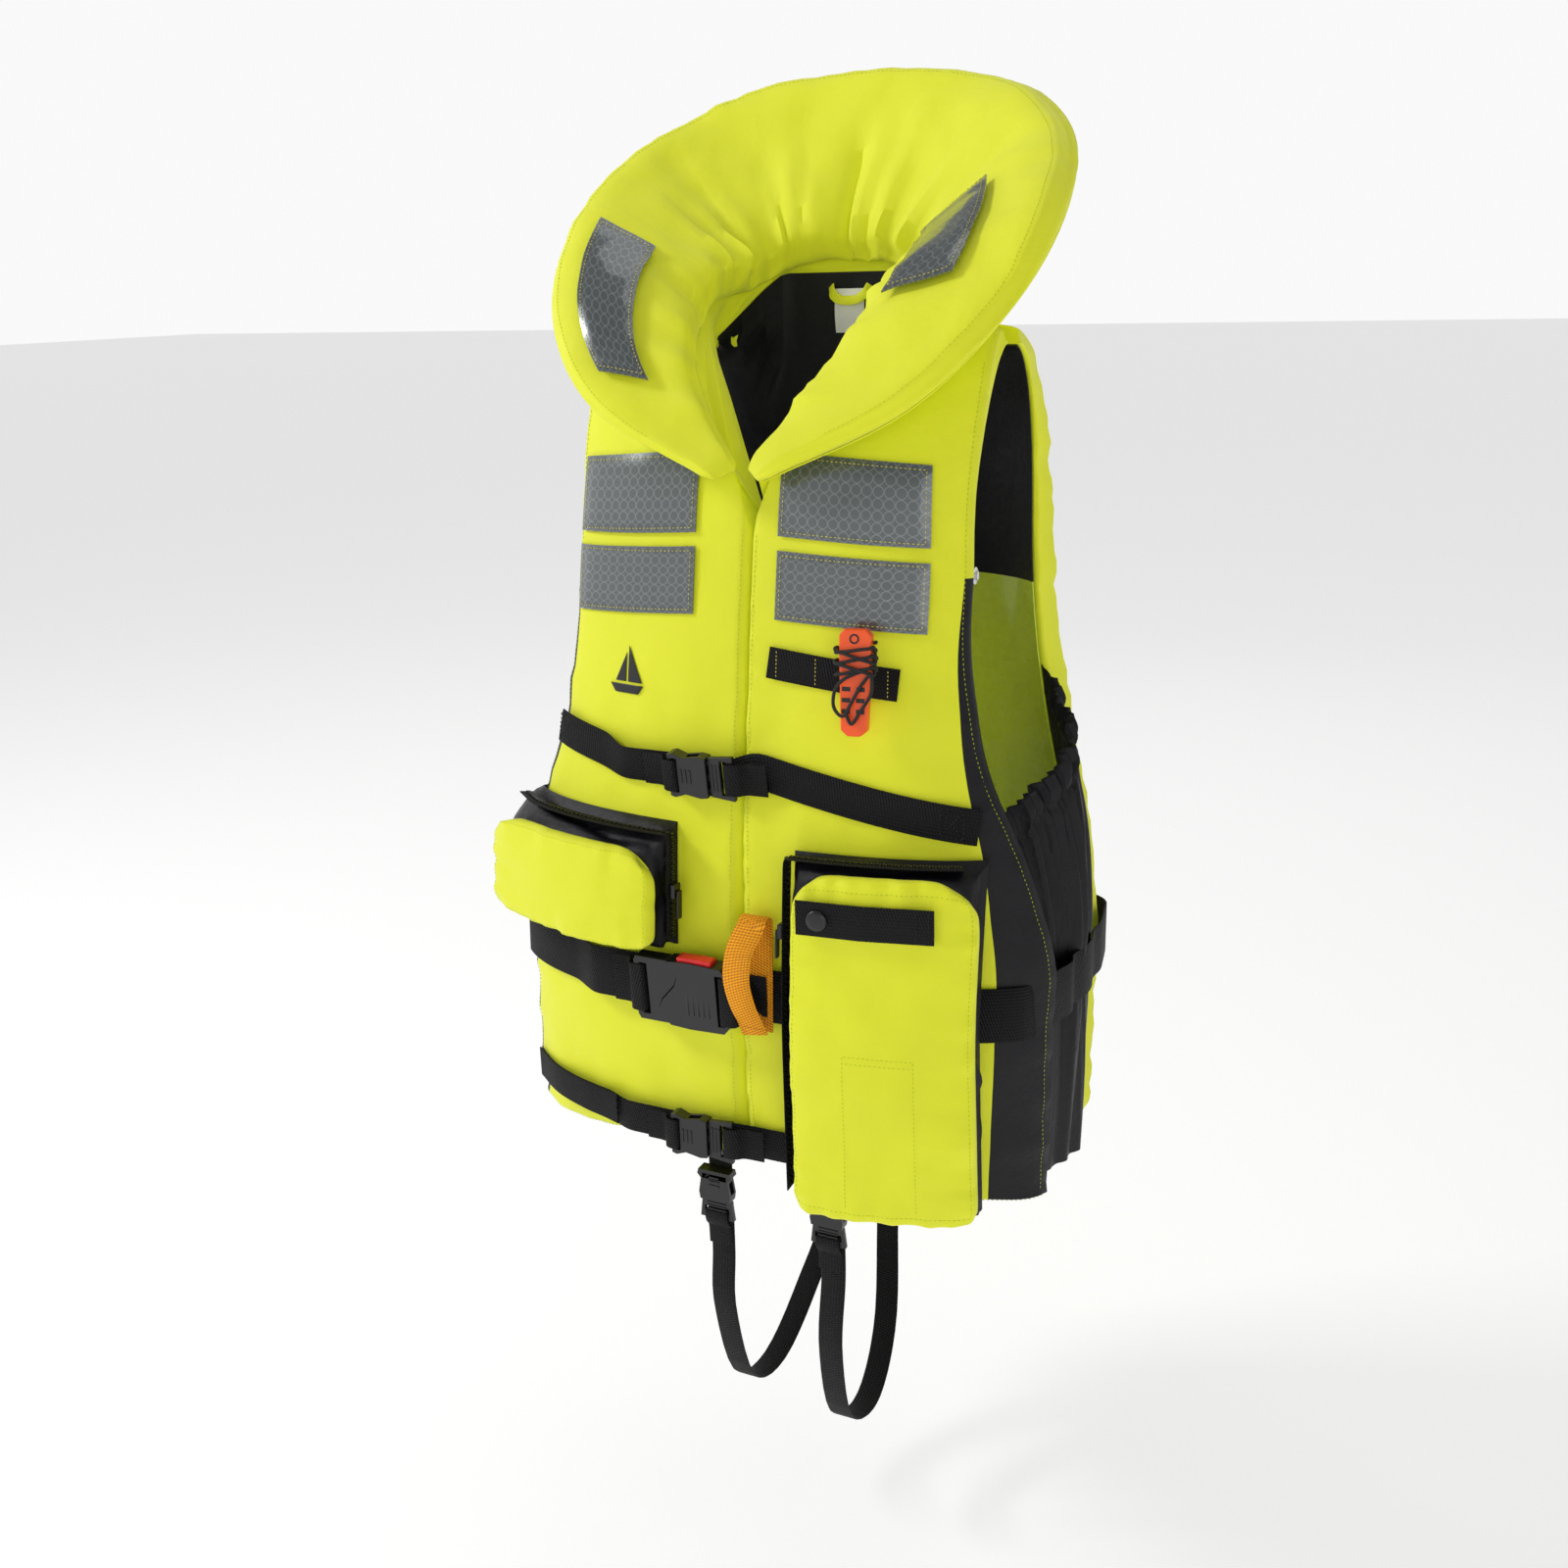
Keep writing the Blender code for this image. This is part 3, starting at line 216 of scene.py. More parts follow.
def neckline_z(x):
    share = min(abs(x) / NECK_HALF, 1.0)
    return V_Z * (1.0 - share) ** 2.2


def hem_z(x):
    return HEM_Z + (SIDE_HEM_Z - HEM_Z) * smoothstep(0.06, 0.18, abs(x))


def edge_round(share, power, floor):
    return floor + (1.0 - floor) * (1.0 - min(abs(share), 1.0) ** power) ** (1.0 / power)


def front_round(u, v):
    outer = edge_round(max(0.0, 2 * u - 1), 7.0, 0.45)
    inner = edge_round(max(0.0, 1 - 2 * u), 12.0, 0.85)
    return outer * inner * edge_round(2 * v - 1, 16.0, 0.65)


def front_outer(x, z, lift=0.0):
    """A point above the front cover."""
    u = min(abs(x) / column(PANEL_EDGES, 1, z), 1.0)
    v = min(max((z - hem_z(x)) / (neckline_z(x) - hem_z(x)), 0.06), 1.0)
    rounded = front_round(max(u, 0.5), v)
    return front_base(x, z) + front_normal(x, z) * (column(FOAM, 1, z) * rounded + lift)


def up_on_front(x, z):
    normal = front_normal(x, z)
    return unit(np.array([0.0, 0.0, 1.0]) - normal * normal[2])


def back_outer(x, z, lift=0.0):
    return back_base(x, z) + back_normal(x, z) * (column(FOAM, 2, z) + lift)


def side_point(side, q, z, lift=0.0):
    """A point on a side panel; q runs from the front panel (0) to the back panel (1)."""
    front = front_base(column(PANEL_EDGES, 1, z), z)
    back = back_base(column(PANEL_EDGES, 2, z), z)
    point = front + (back - front) * q
    bulge = 0.020 + 0.018 * smoothstep(-0.46, -0.28, z)
    point[0] += bulge * math.sin(math.pi * q) + lift
    point[0] *= side
    return point


class Panel:
    """A padded panel: its base surface, outward normal and foam height over (u, v)."""

    def __init__(self, place, normal, height):
        self.place = place
        self.normal = normal
        self.height = height


def front_panel(side):
    def spot(u, v):
        share = u if side > 0 else 1 - u
        guess = GAP + (SHOULDER_HALF - GAP) * share
        for _ in range(3):
            z = hem_z(guess) + (neckline_z(guess) - hem_z(guess)) * v
            guess = GAP + (column(PANEL_EDGES, 1, z) - GAP) * share
        return side * guess, min(z, -0.0004)

    def height(u, v):
        _, z = spot(u, v)
        return column(FOAM, 1, z) * front_round(u if side > 0 else 1 - u, v)

    return Panel(lambda u, v: front_base(*spot(u, v)),
                 lambda u, v: front_normal(*spot(u, v)), height)


def back_panel():
    def spot(u, v):
        across = 1 - 2 * u
        guess = SHOULDER_HALF * across
        for _ in range(3):
            top = NECK_BACK_Z * (1.0 - neck_share(guess))
            z = SIDE_HEM_Z + (top - SIDE_HEM_Z) * v
            guess = column(PANEL_EDGES, 2, z) * across
        limit = -0.0004 if neck_share(guess) > 0.98 else top
        return guess, min(z, limit)

    def height(u, v):
        _, z = spot(u, v)
        return column(FOAM, 2, z) * edge_round(2 * u - 1, 7.0, 0.35) \
            * edge_round(2 * v - 1, 16.0, 0.80)

    return Panel(lambda u, v: back_base(*spot(u, v)) + np.array([0.0, 2 * GAP, 0.0]),
                 lambda u, v: back_normal(*spot(u, v)), height)


def collar_panel():
    def place(u, v):
        share = 2 * u - 1
        base = smooth_curve(COLLAR_BASE, abs(share))
        rim = smooth_curve(COLLAR_RIM, abs(share))
        point = base + (rim - base) * v
        return point * np.array([1.0 if share > 0 else -1.0, 1.0, 1.0])

    def normal(u, v):
        step = 0.01
        u = float(np.clip(u, step, 1 - step))
        v = float(np.clip(v, step, 1 - step))
        around = place(u + step, v) - place(u - step, v)
        return unit(np.cross(around, place(u, v + step) - place(u, v - step)))

    def height(u, v):
        tip = (1.0 - abs(2 * u - 1) ** 3) ** 0.6
        across = (1.0 - abs(2 * v - 1) ** 3) ** (1 / 3)
        return COLLAR_FOAM * (0.22 + 0.78 * tip * (0.2 + 0.8 * across))

    return Panel(place, normal, height)


def rounded(x_share, z_share, width, height):
    """A square's place moved in near its corners, more at the top than at the bottom."""
    a, b = 2 * x_share - 1, 2 * z_share - 1
    reach = 0.009 if b > 0 else 0.004
    pull = reach / (width / 2) * abs(b) ** (0.7 * height / reach)
    drop = reach / (height / 2) * abs(a) ** (0.7 * width / reach)
    return (1 + a * (1 - pull)) / 2, (1 + b * (1 - drop)) / 2


def pocket_panel(side, inner, outer, low, high, depth, lift):
    def spot(u, v):
        share, rise = rounded(u if side > 0 else 1 - u, v, outer - inner, high - low)
        return side * (inner + (outer - inner) * share), low + (high - low) * rise

    def height(u, v):
        return depth * edge_round(2 * u - 1, 5.0, 0.80) * edge_round(2 * v - 1, 6.0, 0.88)

    return Panel(lambda u, v: front_outer(*spot(u, v), lift),
                 lambda u, v: front_normal(*spot(u, v)), height)


def buckle_frame(x, z, half_length):
    """The place of a buckle: x along the strap, y inwards, z up, lying flat on the front."""
    reach = [x - half_length, x, x + half_length]
    normal = front_normal(x if abs(x) > 0.004 else 0.004, z)
    tilt = math.atan2(-normal[2], -normal[1])
    front = min(cad_front(place, z) for place in reach)
    stand_off = LIFT + WEBBING + 0.0034
    return Matrix.Translation((x, front - stand_off, z)) @ Matrix.Rotation(-tilt, 4, "X")


def cad_front(x, z):
    return front_outer(x, z)[1]


def in_frame(place, x, y, z):
    return np.array(place @ Vector((x, y, z)))


def axes_of(place):
    return [np.array(place.col[k][:3]) for k in range(3)]


def box_centre(node):
    low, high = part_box(node)
    return (np.array(low) + np.array(high)) / 2


def facing_out(normal):
    return -normal if normal[1] > 0 else normal


def even(count):
    return [k / count for k in range(count + 1)]


def linked(name, data):
    obj = bpy.data.objects.new(name, data)
    bpy.context.scene.collection.objects.link(obj)
    return obj


def run_lengths(points):
    """How far along a route each of its points is."""
    legs = np.linalg.norm(np.diff(np.asarray(points, dtype=float), axis=0), axis=1)
    return np.concatenate([[0.0], np.cumsum(legs)])


def read_along(marks, run, rows):
    """Rows of three numbers, given at the lengths of a run, read off at the marks."""
    rows = np.asarray(rows, dtype=float)
    return np.stack([np.interp(marks, run, rows[:, k]) for k in range(3)], axis=1)


# ---- materials ----------------------------------------------------------------------------
class Finish:
    """A procedural material under construction."""

    def __init__(self, name, colour, roughness, **sockets):
        self.mat = bpy.data.materials.new(name)
        self.mat.use_nodes = True
        self.nodes = self.mat.node_tree.nodes
        self.links = self.mat.node_tree.links
        self.shader = self.nodes["Principled BSDF"]
        self.shader.inputs["Base Color"].default_value = (*colour, 1.0)
        self.shader.inputs["Roughness"].default_value = roughness
        for key, value in sockets.items():
            self.shader.inputs[key.replace("_", " ")].default_value = value
        self.colour = colour
        self.bump = None

    def node(self, kind, **settings):
        made = self.nodes.new(kind)
        for key, value in settings.items():
            if isinstance(value, bpy.types.NodeSocket):
                self.links.new(value, made.inputs[key.replace("_", " ")])
            elif hasattr(made, key):
                setattr(made, key, value)
            else:
                made.inputs[key.replace("_", " ")].default_value = value
        return made

    def math(self, operation, first, second=None):
        made = self.nodes.new("ShaderNodeMath")
        made.operation = operation
        for slot, value in enumerate((first, second)):
            if isinstance(value, bpy.types.NodeSocket):
                self.links.new(value, made.inputs[slot])
            elif value is not None:
                made.inputs[slot].default_value = value
        return made.outputs[0]

    def coordinates(self, source="UV"):
        space = self.node("ShaderNodeTexCoord")
        split = self.node("ShaderNodeSeparateXYZ", Vector=space.outputs[source])
        return space.outputs[source], split.outputs

    def wave(self, axis, pitch):
        """A sine along one coordinate, from -1 to 1."""
        return self.math("SINE", self.math("MULTIPLY", axis, 2 * math.pi / pitch))

    def noise(self, vector, scale, detail=3.0):
        made = self.node("ShaderNodeTexNoise", Vector=vector, Scale=scale, Detail=detail)
        return made.outputs["Fac"]

    def add_bump(self, height, distance, strength=1.0):
        made = self.node("ShaderNodeBump", Height=height, Distance=distance, Strength=strength)
        if self.bump is not None:
            self.links.new(self.bump, made.inputs["Normal"])
        self.bump = made.outputs["Normal"]
        self.links.new(self.bump, self.shader.inputs["Normal"])

    def vary(self, fac, low, high, socket="Base Color"):
        """Blend two colours (or two numbers) by a factor into one of the shader's sockets."""
        ramp = self.nodes.new("ShaderNodeMapRange" if isinstance(low, float) else "ShaderNodeMix")
        if isinstance(low, float):
            ramp.inputs["To Min"].default_value = low
            ramp.inputs["To Max"].default_value = high
            self.links.new(fac, ramp.inputs["Value"])
            self.links.new(ramp.outputs["Result"], self.shader.inputs[socket])
            return
        ramp.data_type = "RGBA"
        ramp.inputs[6].default_value = (*low, 1.0)
        ramp.inputs[7].default_value = (*high, 1.0)
        self.links.new(fac, ramp.inputs[0])
        self.links.new(ramp.outputs[2], self.shader.inputs[socket])


def shade(colour, factor):
    return tuple(c * factor for c in colour)


def cloth(name, colour, roughness, pitch, crinkle, spread=0.06, **sockets):
    """Woven cloth: a fine weave, soft crinkles and a slight drift of colour."""
    finish = Finish(name, colour, roughness, **sockets)
    _, (along, across, _) = finish.coordinates()
    place, _ = finish.coordinates("Object")
    weave = finish.math("MULTIPLY", finish.wave(along, pitch), finish.wave(across, pitch))
    finish.add_bump(weave, 0.00012, 0.5)
    finish.add_bump(finish.noise(place, 45.0, 4.0), crinkle, 0.8)
    finish.vary(finish.noise(place, 14.0), shade(colour, 1 - spread), shade(colour, 1 + spread))
    finish.vary(finish.noise(place, 90.0), roughness - 0.06, roughness + 0.08, "Roughness")
    return finish.mat


RIB_PITCH, ROW_PITCH, RIB_LEAN = 0.0021, 0.0024, 0.35


def webbing_finish(name, colour, roughness=0.62):
    """Woven webbing: leaning ribs across it and fine rows along it, with a painted highlight on the
    raised ribs and painted shade in the grooves between them.
    """
    finish = Finish(name, colour, roughness, Specular_IOR_Level=0.2)
    _, (along, across, _) = finish.coordinates()
    lean = finish.math("ADD", along, finish.math("MULTIPLY", across, RIB_LEAN))
    ribs = finish.wave(lean, RIB_PITCH)
    rows = finish.wave(across, ROW_PITCH)
    weave = finish.math("ADD", ribs, finish.math("MULTIPLY", rows, 0.6))
    finish.add_bump(weave, 0.00035, 0.9)
    # Painted shade and highlight: the colour follows the weave's height, darker in its grooves and
    # lighter on its ribs.
    light = finish.math("MULTIPLY", finish.math("ADD", weave, 1.6), 0.3)
    finish.vary(light, shade(colour, 0.45), shade(colour, 1.5))
    return finish.mat


def plastic(name, colour, roughness, grain=0.00006, **sockets):
    finish = Finish(name, colour, roughness, **sockets)
    place, _ = finish.coordinates("Object")
    finish.add_bump(finish.noise(place, 1800.0, 2.0), grain, 0.6)
    finish.vary(finish.noise(place, 120.0), roughness - 0.07, roughness + 0.1, "Roughness")
    finish.vary(finish.noise(place, 60.0), shade(colour, 0.9), shade(colour, 1.12))
    return finish.mat


# The net in the tape: pitch of its cells, then radius and line width in shares of the pitch.
TAPE_CELL, CELL_RADIUS, CELL_LINE = 0.0072, 0.46, 0.05


def tape_finish():
    """Glossy film over a fine net of round cells."""
    finish = Finish("reflective_tape", (0.2, 0.22, 0.23), 0.28, Metallic=0.25,
                    Coat_Weight=1.0, Coat_Roughness=0.05)
    _, (along, across, _) = finish.coordinates()
    legs = []
    for axis in (along, across):
        cells = finish.math("DIVIDE", axis, TAPE_CELL)
        cell = finish.math("SUBTRACT", finish.math("FRACT", cells), 0.5)
        legs.append(finish.math("MULTIPLY", cell, cell))
    reach = finish.math("SQRT", finish.math("ADD", *legs))
    off_ring = finish.math("ABSOLUTE", finish.math("SUBTRACT", reach, CELL_RADIUS))
    ring = finish.math("LESS_THAN", off_ring, CELL_LINE)
    finish.vary(ring, (0.085, 0.098, 0.100), (0.165, 0.185, 0.190))
    finish.add_bump(ring, 0.00008, 0.7)
    place, _ = finish.coordinates("Object")
    finish.add_bump(finish.noise(place, 20.0, 2.0), 0.0036, 0.8)
    return finish.mat


def metal(name, colour, roughness):
    finish = Finish(name, colour, roughness, Metallic=1.0)
    place, _ = finish.coordinates("Object")
    finish.add_bump(finish.noise(place, 900.0, 2.0), 0.00004, 0.5)
    finish.vary(finish.noise(place, 150.0), roughness - 0.08, roughness + 0.1, "Roughness")
    return finish.mat


YELLOW = (0.78, 0.80, 0.010)
# The hi-vis cloth's emission is a painted glow: the cloth gives off a little yellow light of its
# own, whatever light falls on it.
HI_VIS = cloth("hi_vis_fabric", YELLOW, 0.62, 0.0009, 0.0016, 0.03, Sheen_Weight=0.12,
               Emission_Color=(0.62, 0.88, 0.0, 1.0), Emission_Strength=0.05)
COATED = cloth("coated_lining", (0.62, 0.76, 0.03), 0.26, 0.0009, 0.0028, 0.05,
               Coat_Weight=0.5, Coat_Roughness=0.12)
NYLON = cloth("black_nylon", (0.005, 0.005, 0.007), 0.36, 0.0009, 0.0026, 0.1,
              Specular_IOR_Level=0.25)
WEB = webbing_finish("black_webbing", (0.007, 0.007, 0.008))
ORANGE_WEB = webbing_finish("orange_webbing", (0.93, 0.36, 0.012), 0.55)
BLACK = plastic("black_plastic", (0.008, 0.008, 0.009), 0.34)
RED = plastic("red_plastic", (0.72, 0.02, 0.02), 0.3)
ORANGE = plastic("orange_plastic", (0.95, 0.10, 0.012), 0.32, Subsurface_Weight=0.1)
TAPE = tape_finish()
STEEL = metal("steel", (0.66, 0.66, 0.67), 0.22)
DARK_METAL = metal("blackened_metal", (0.05, 0.05, 0.052), 0.34)
CORD = cloth("black_cord", (0.011, 0.011, 0.012), 0.7, 0.0014, 0.0004)
FOAM_MAT = cloth("foam", (0.80, 0.80, 0.78), 0.9, 0.003, 0.001)
YELLOW_THREAD = plastic("yellow_thread", (0.55, 0.66, 0.01), 0.7)
BLACK_THREAD = plastic("black_thread", (0.012, 0.012, 0.012), 0.7)
LIGHT_THREAD = plastic("light_thread", (0.80, 0.72, 0.12), 0.7)
LABEL = cloth("label_satin", (0.86, 0.86, 0.84), 0.4, 0.0007, 0.0006)
PRINT = plastic("printed_mark", (0.010, 0.010, 0.012), 0.45)


# ---- mesh building ------------------------------------------------------------------------
# Angles in degrees: an edge steeper than this is drawn sharp, or is bevelled.
SHARP_BAR, SHARP_SHEET, SHARP_PAD, SHARP_LOFT = 30, 50.0, 62.0, 60.0
SHARP_HARD, BEVEL_OVER = 38, 32


def mesh_piece(name, verts, faces, mats, uvs=None, ids=None, sharp=40.0):
    """A mesh of rows of points; ids gives each face's material, sharp=0 leaves all smooth."""
    mesh = bpy.data.meshes.new(name)
    mesh.from_pydata([tuple(v) for v in verts], [], [tuple(f) for f in faces])
    for mat in (mats if isinstance(mats, (list, tuple)) else [mats]):
        mesh.materials.append(mat)
    if uvs is not None:
        layer = mesh.uv_layers.new(name="UVMap")
        loops = np.empty(len(mesh.loops), dtype=np.int32)
        mesh.loops.foreach_get("vertex_index", loops)
        layer.data.foreach_set("uv", np.asarray(uvs, dtype=np.float32)[loops].ravel())
    if ids is not None:
        mesh.polygons.foreach_set("material_index", np.asarray(ids, dtype=np.int32))
    mesh.update()
    mesh.shade_smooth()
    if sharp:
        mesh.set_sharp_from_angle(angle=math.radians(sharp))
    return linked(name, mesh)


def place_piece(obj, body, slot, *nodes):
    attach(obj, body)
    if nodes:
        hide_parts(*nodes)
    return obj


def eased(count, share=0.65):
    """Shares from 0 to 1, closer together near both ends."""
    line = np.linspace(0, 1, count + 1)
    return (1 - share) * line + share * (0.5 - 0.5 * np.cos(math.pi * line))


def grid_quads(columns, rows, start, flip):
    quads = []
    for j in range(rows):
        for i in range(columns):
            a = start + j * (columns + 1) + i
            quad = (a, a + 1, a + columns + 2, a + columns + 1)
            quads.append(quad[::-1] if flip else quad)
    return quads


def border(columns, rows):
    stride = columns + 1
    low = list(range(columns))
    right = [j * stride + columns for j in range(rows)]
    high = [rows * stride + i for i in range(columns, 0, -1)]
    left = [j * stride for j in range(rows, 0, -1)]
    return low + right + high + left


def pad(name, panel, columns, rows, relief, mats, low=0.0006, bulge=0.0022, walls=4,
        side_mat=None, crowd=1.0, face_mat=None):
    """A closed padded form: face, side walls that swell, and a back at the low level.

    face_mat(u, z) and side_mat(middle) say which faces take the second material.
    """
    us, vs = eased(columns, 0.0 if face_mat else 0.65), 1.0 - (1.0 - eased(rows, 0.4)) ** crowd
    width = sum(np.linalg.norm(panel.place(b, 0.5) - panel.place(a, 0.5))
                for a, b in zip(us, us[1:]))
    length = sum(np.linalg.norm(panel.place(0.5, b) - panel.place(0.5, a))
                 for a, b in zip(vs, vs[1:]))
    base, normal, top, uvs = [], [], [], []
    for v in vs:
        for u in us:
            spot, away = panel.place(u, v), panel.normal(u, v)
            height = panel.height(u, v) + relief(u, v, spot)
            base.append(spot)
            normal.append(away)
            top.append(max(height, low + 0.0008))
            uvs.append((u * width, v * length))
    verts = [b + n * h for b, n, h in zip(base, normal, top)]
    faces = grid_quads(columns, rows, 0, False)
    ids = [0] * len(faces)
    if face_mat:
        for k in range(len(faces)):
            middle = (us[k % columns] + us[k % columns + 1]) / 2
            ids[k] = 1 if face_mat(middle, base[faces[k][0]][2]) else 0
    edge = border(columns, rows)
    stride = columns + 1
    rings = [edge]
    for ring in range(1, walls + 1):
        share = 1.0 - ring / walls
        start = len(verts)
        for k, i in enumerate(edge):
            row, col = divmod(i, stride)
            inner = min(max(row, 1), rows - 1) * stride + min(max(col, 1), columns - 1)
            out = base[i] - base[inner]
            out = unit(out - normal[i] * np.dot(out, normal[i]))
            swell = bulge * math.sin(math.pi * (0.1 + 0.9 * share)) if ring < walls else 0.0
            verts.append(base[i] + normal[i] * (low + (top[i] - low) * share) + out * swell)
            u, v = uvs[i]
            drop = (1 - share) * top[i]
            uvs.append((u + drop * np.sign(col - columns / 2), v - drop))
        rings.append(list(range(start, start + len(edge))))
    for upper, lower in zip(rings, rings[1:]):
        for k in range(len(edge)):
            after = (k + 1) % len(edge)
            faces.append((upper[after], upper[k], lower[k], lower[after]))
            middle = (verts[lower[k]] + verts[lower[after]]) / 2
            ids.append(1 if side_mat and side_mat(middle) else 0)
    lookup = dict(zip(edge, rings[-1]))
    for i in range(len(base)):
        if i not in lookup:
            lookup[i] = len(verts)
            verts.append(base[i] + normal[i] * low)
            uvs.append(uvs[i])
    for quad in grid_quads(columns, rows, 0, True):
        faces.append(tuple(lookup[i] for i in quad))
        ids.append(0)
    return mesh_piece(name, verts, faces, mats, uvs, ids, SHARP_PAD)


def sheet(name, us, vs, mats, layers):
    """A closed thin sheet: layers(u, v) gives an outer point, an inner one and a UV place."""
    outer, inner, uvs = zip(*[layers(u, v) for v in vs for u in us])
    columns, rows, count = len(us) - 1, len(vs) - 1, len(outer)
    faces = grid_quads(columns, rows, 0, False) + grid_quads(columns, rows, count, True)
    edge = border(columns, rows)
    for here, ahead in zip(edge, edge[1:] + edge[:1]):
        faces.append((ahead, here, count + here, count + ahead))
    return mesh_piece(name, outer + inner, faces, mats, uvs + uvs, None, SHARP_SHEET)


def resample(points, step):
    run = run_lengths(points)
    count = max(2, int(round(run[-1] / step)))
    marks = np.linspace(0, run[-1], count + 1)
    return read_along(marks, run, points), marks


def through(route, count):
    """A Catmull-Rom curve through a route."""
    route = [np.asarray(p, dtype=float) for p in route]
    padded = [2 * route[0] - route[1]] + route + [2 * route[-1] - route[-2]]
    points = []
    for s in np.linspace(0, len(route) - 1 - 1e-9, count):
        i = int(s)
        t = s - i
        a, b, c, d = padded[i:i + 4]
        points.append(0.5 * (2 * b + (c - a) * t + (2 * a - 5 * b + 4 * c - d) * t ** 2
                             + (3 * b - a - 3 * c + d) * t ** 3))
    return points


SELVEDGE = 0.0006


def strap(name, route, across, width, mat, thickness=WEBBING, step=0.004, smooth=0):
    """Flat webbing with rounded selvedges along a route."""
    route = np.asarray([np.asarray(p, dtype=float) for p in route])
    ways = np.asarray([across] * len(route) if np.ndim(across) == 1 else across, dtype=float)
    points, marks = resample(route, step)
    widths = read_along(marks, run_lengths(route), ways)
    for _ in range(smooth):
        points[1:-1] = (points[:-2] + points[2:] + 2 * points[1:-1]) / 4
    half, thick, soft = width / 2, thickness / 2, SELVEDGE
    profile = ((half, thick * 0.3), (half - soft, thick), (0, thick * 1.05), (-half + soft, thick),
               (-half, thick * 0.3), (-half, -thick * 0.3), (-half + soft, -thick),
               (0, -thick * 1.05), (half - soft, -thick), (half, -thick * 0.3))
    size = len(profile)
    verts, uvs = [], []
    for i, point in enumerate(points):
        along = unit(points[min(i + 1, len(points) - 1)] - points[max(i - 1, 0)])
        face = unit(np.cross(widths[i], along))
        side = unit(np.cross(along, face))
        for a, b in profile:
            verts.append(point + side * a + face * b)
            uvs.append((marks[i], a))
    faces = []
    for i in range(len(points) - 1):
        for k in range(size):
            j = (k + 1) % size
            faces.append((size * i + k, size * i + j, size * (i + 1) + j, size * (i + 1) + k))
    last = size * (len(points) - 1)
    faces.append(tuple(range(size))[::-1])
    faces.append(tuple(range(last, last + size)))
    faces = [f[::-1] for f in faces]
    return mesh_piece(name, verts, faces, mat, uvs, None, SHARP_SHEET)


def stitches(name, runs, mat, body, slot, pitch=0.0034, size=0.00032):
    """Rows of sewn thread: each run is a list of points with the normal at each."""
    verts, faces = [], []
    for points, normals in runs:
        fine, marks = resample(points, pitch)
        ways = read_along(marks, run_lengths(points), normals)
        for i in range(len(fine) - 1):
            start, stop = fine[i], fine[i + 1]
            along = unit(stop - start)
            up = unit(ways[i] - along * np.dot(ways[i], along))
            side = np.cross(along, up)
            middle = (start + stop) / 2
            reach = np.linalg.norm(stop - start) * 0.36
            first = len(verts)
            verts += [middle - along * reach, middle + along * reach, middle + side * size,
                      middle + up * size, middle - side * size, middle - up * size]
            ring = (2, 3, 4, 5)
            for k in range(4):
                a, b = ring[k], ring[(k + 1) % 4]
                faces.append((first, first + b, first + a))
                faces.append((first + 1, first + a, first + b))
    return place_piece(mesh_piece(name, verts, faces, mat, sharp=0), body, slot)


def refined(name, node, bevel, mats, body, slot, segments=3):
    """A carried-over hard part with its edges rounded, standing for its node."""
    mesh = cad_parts[node].data.copy()
    mesh.name = name
    work = bmesh.new()
    work.from_mesh(mesh)
    bmesh.ops.remove_doubles(work, verts=work.verts, dist=0.00002)
    bmesh.ops.dissolve_limit(work, angle_limit=math.radians(1.0), verts=work.verts,
                             edges=work.edges)
    edges = [e for e in work.edges if len(e.link_faces) == 2
             and e.calc_face_angle(0.0) > math.radians(BEVEL_OVER)]
    bmesh.ops.bevel(work, geom=edges, offset=bevel, segments=segments, profile=0.5,
                    affect="EDGES", clamp_overlap=True)
    work.to_mesh(mesh)
    work.free()
    mesh.materials.clear()
    mesh.materials.append(mats)
    mesh.shade_smooth()
    mesh.set_sharp_from_angle(angle=math.radians(SHARP_HARD))
    obj = linked(name, mesh)
    flatten = obj.modifiers.new("flat_faces", "WEIGHTED_NORMAL")
    flatten.keep_sharp = True
    flatten.weight = 100
    return place_piece(obj, body, slot, node)


CHAMFER = 0.7


def block(verts, faces, centre, axes, size):
    """Add a box with chamfered long edges to running lists."""
    x, y, z = (np.asarray(a) * s / 2 for a, s in zip(axes, size))
    if np.dot(np.cross(x, y), z) < 0:
        y = -y
    first = len(verts)
    c = CHAMFER
    ring = ((-1, -c), (-c, -1), (c, -1), (1, -c), (1, c), (c, 1), (-c, 1), (-1, c))
    for level in (-1, 1):
        for a, b in ring:
            verts.append(centre + x * a + y * b + z * level)
    faces.append(tuple(first + k for k in range(7, -1, -1)))
    faces.append(tuple(first + 8 + k for k in range(8)))
    for k in range(8):
        j = (k + 1) % 8
        faces.append((first + k, first + j, first + 8 + j, first + 8 + k))


def bars(name, centres, axes, size, body, slot):
    """A set of small black bars on one piece."""
    verts, faces = [], []
    for centre in centres:
        block(verts, faces, centre, axes, size)
    place_piece(mesh_piece(name, verts, faces, BLACK, sharp=SHARP_BAR), body, slot)


def turned(name, foot, axis, profile, sides, mat, sharp):
    """A turned form: profile is (radius, height) rows from the foot to the top."""
    axis = unit(axis)
    side = unit(np.cross(axis, (0, 0, 1) if abs(axis[2]) < 0.9 else (1, 0, 0)))
    up = np.cross(axis, side)
    verts = []
    for radius, height in profile:
        for k in range(sides):
            a = 2 * math.pi * k / sides
            verts.append(foot + axis * height + (side * math.cos(a) + up * math.sin(a)) * radius)
    faces = [tuple(range(sides - 1, -1, -1))]
    for a in range(0, (len(profile) - 1) * sides, sides):
        for k in range(sides):
            j = (k + 1) % sides
            faces.append((a + k, a + j, a + sides + j, a + sides + k))
    faces.append(tuple(range(len(verts) - sides, len(verts))))
    return mesh_piece(name, verts, faces, mat, sharp=sharp)


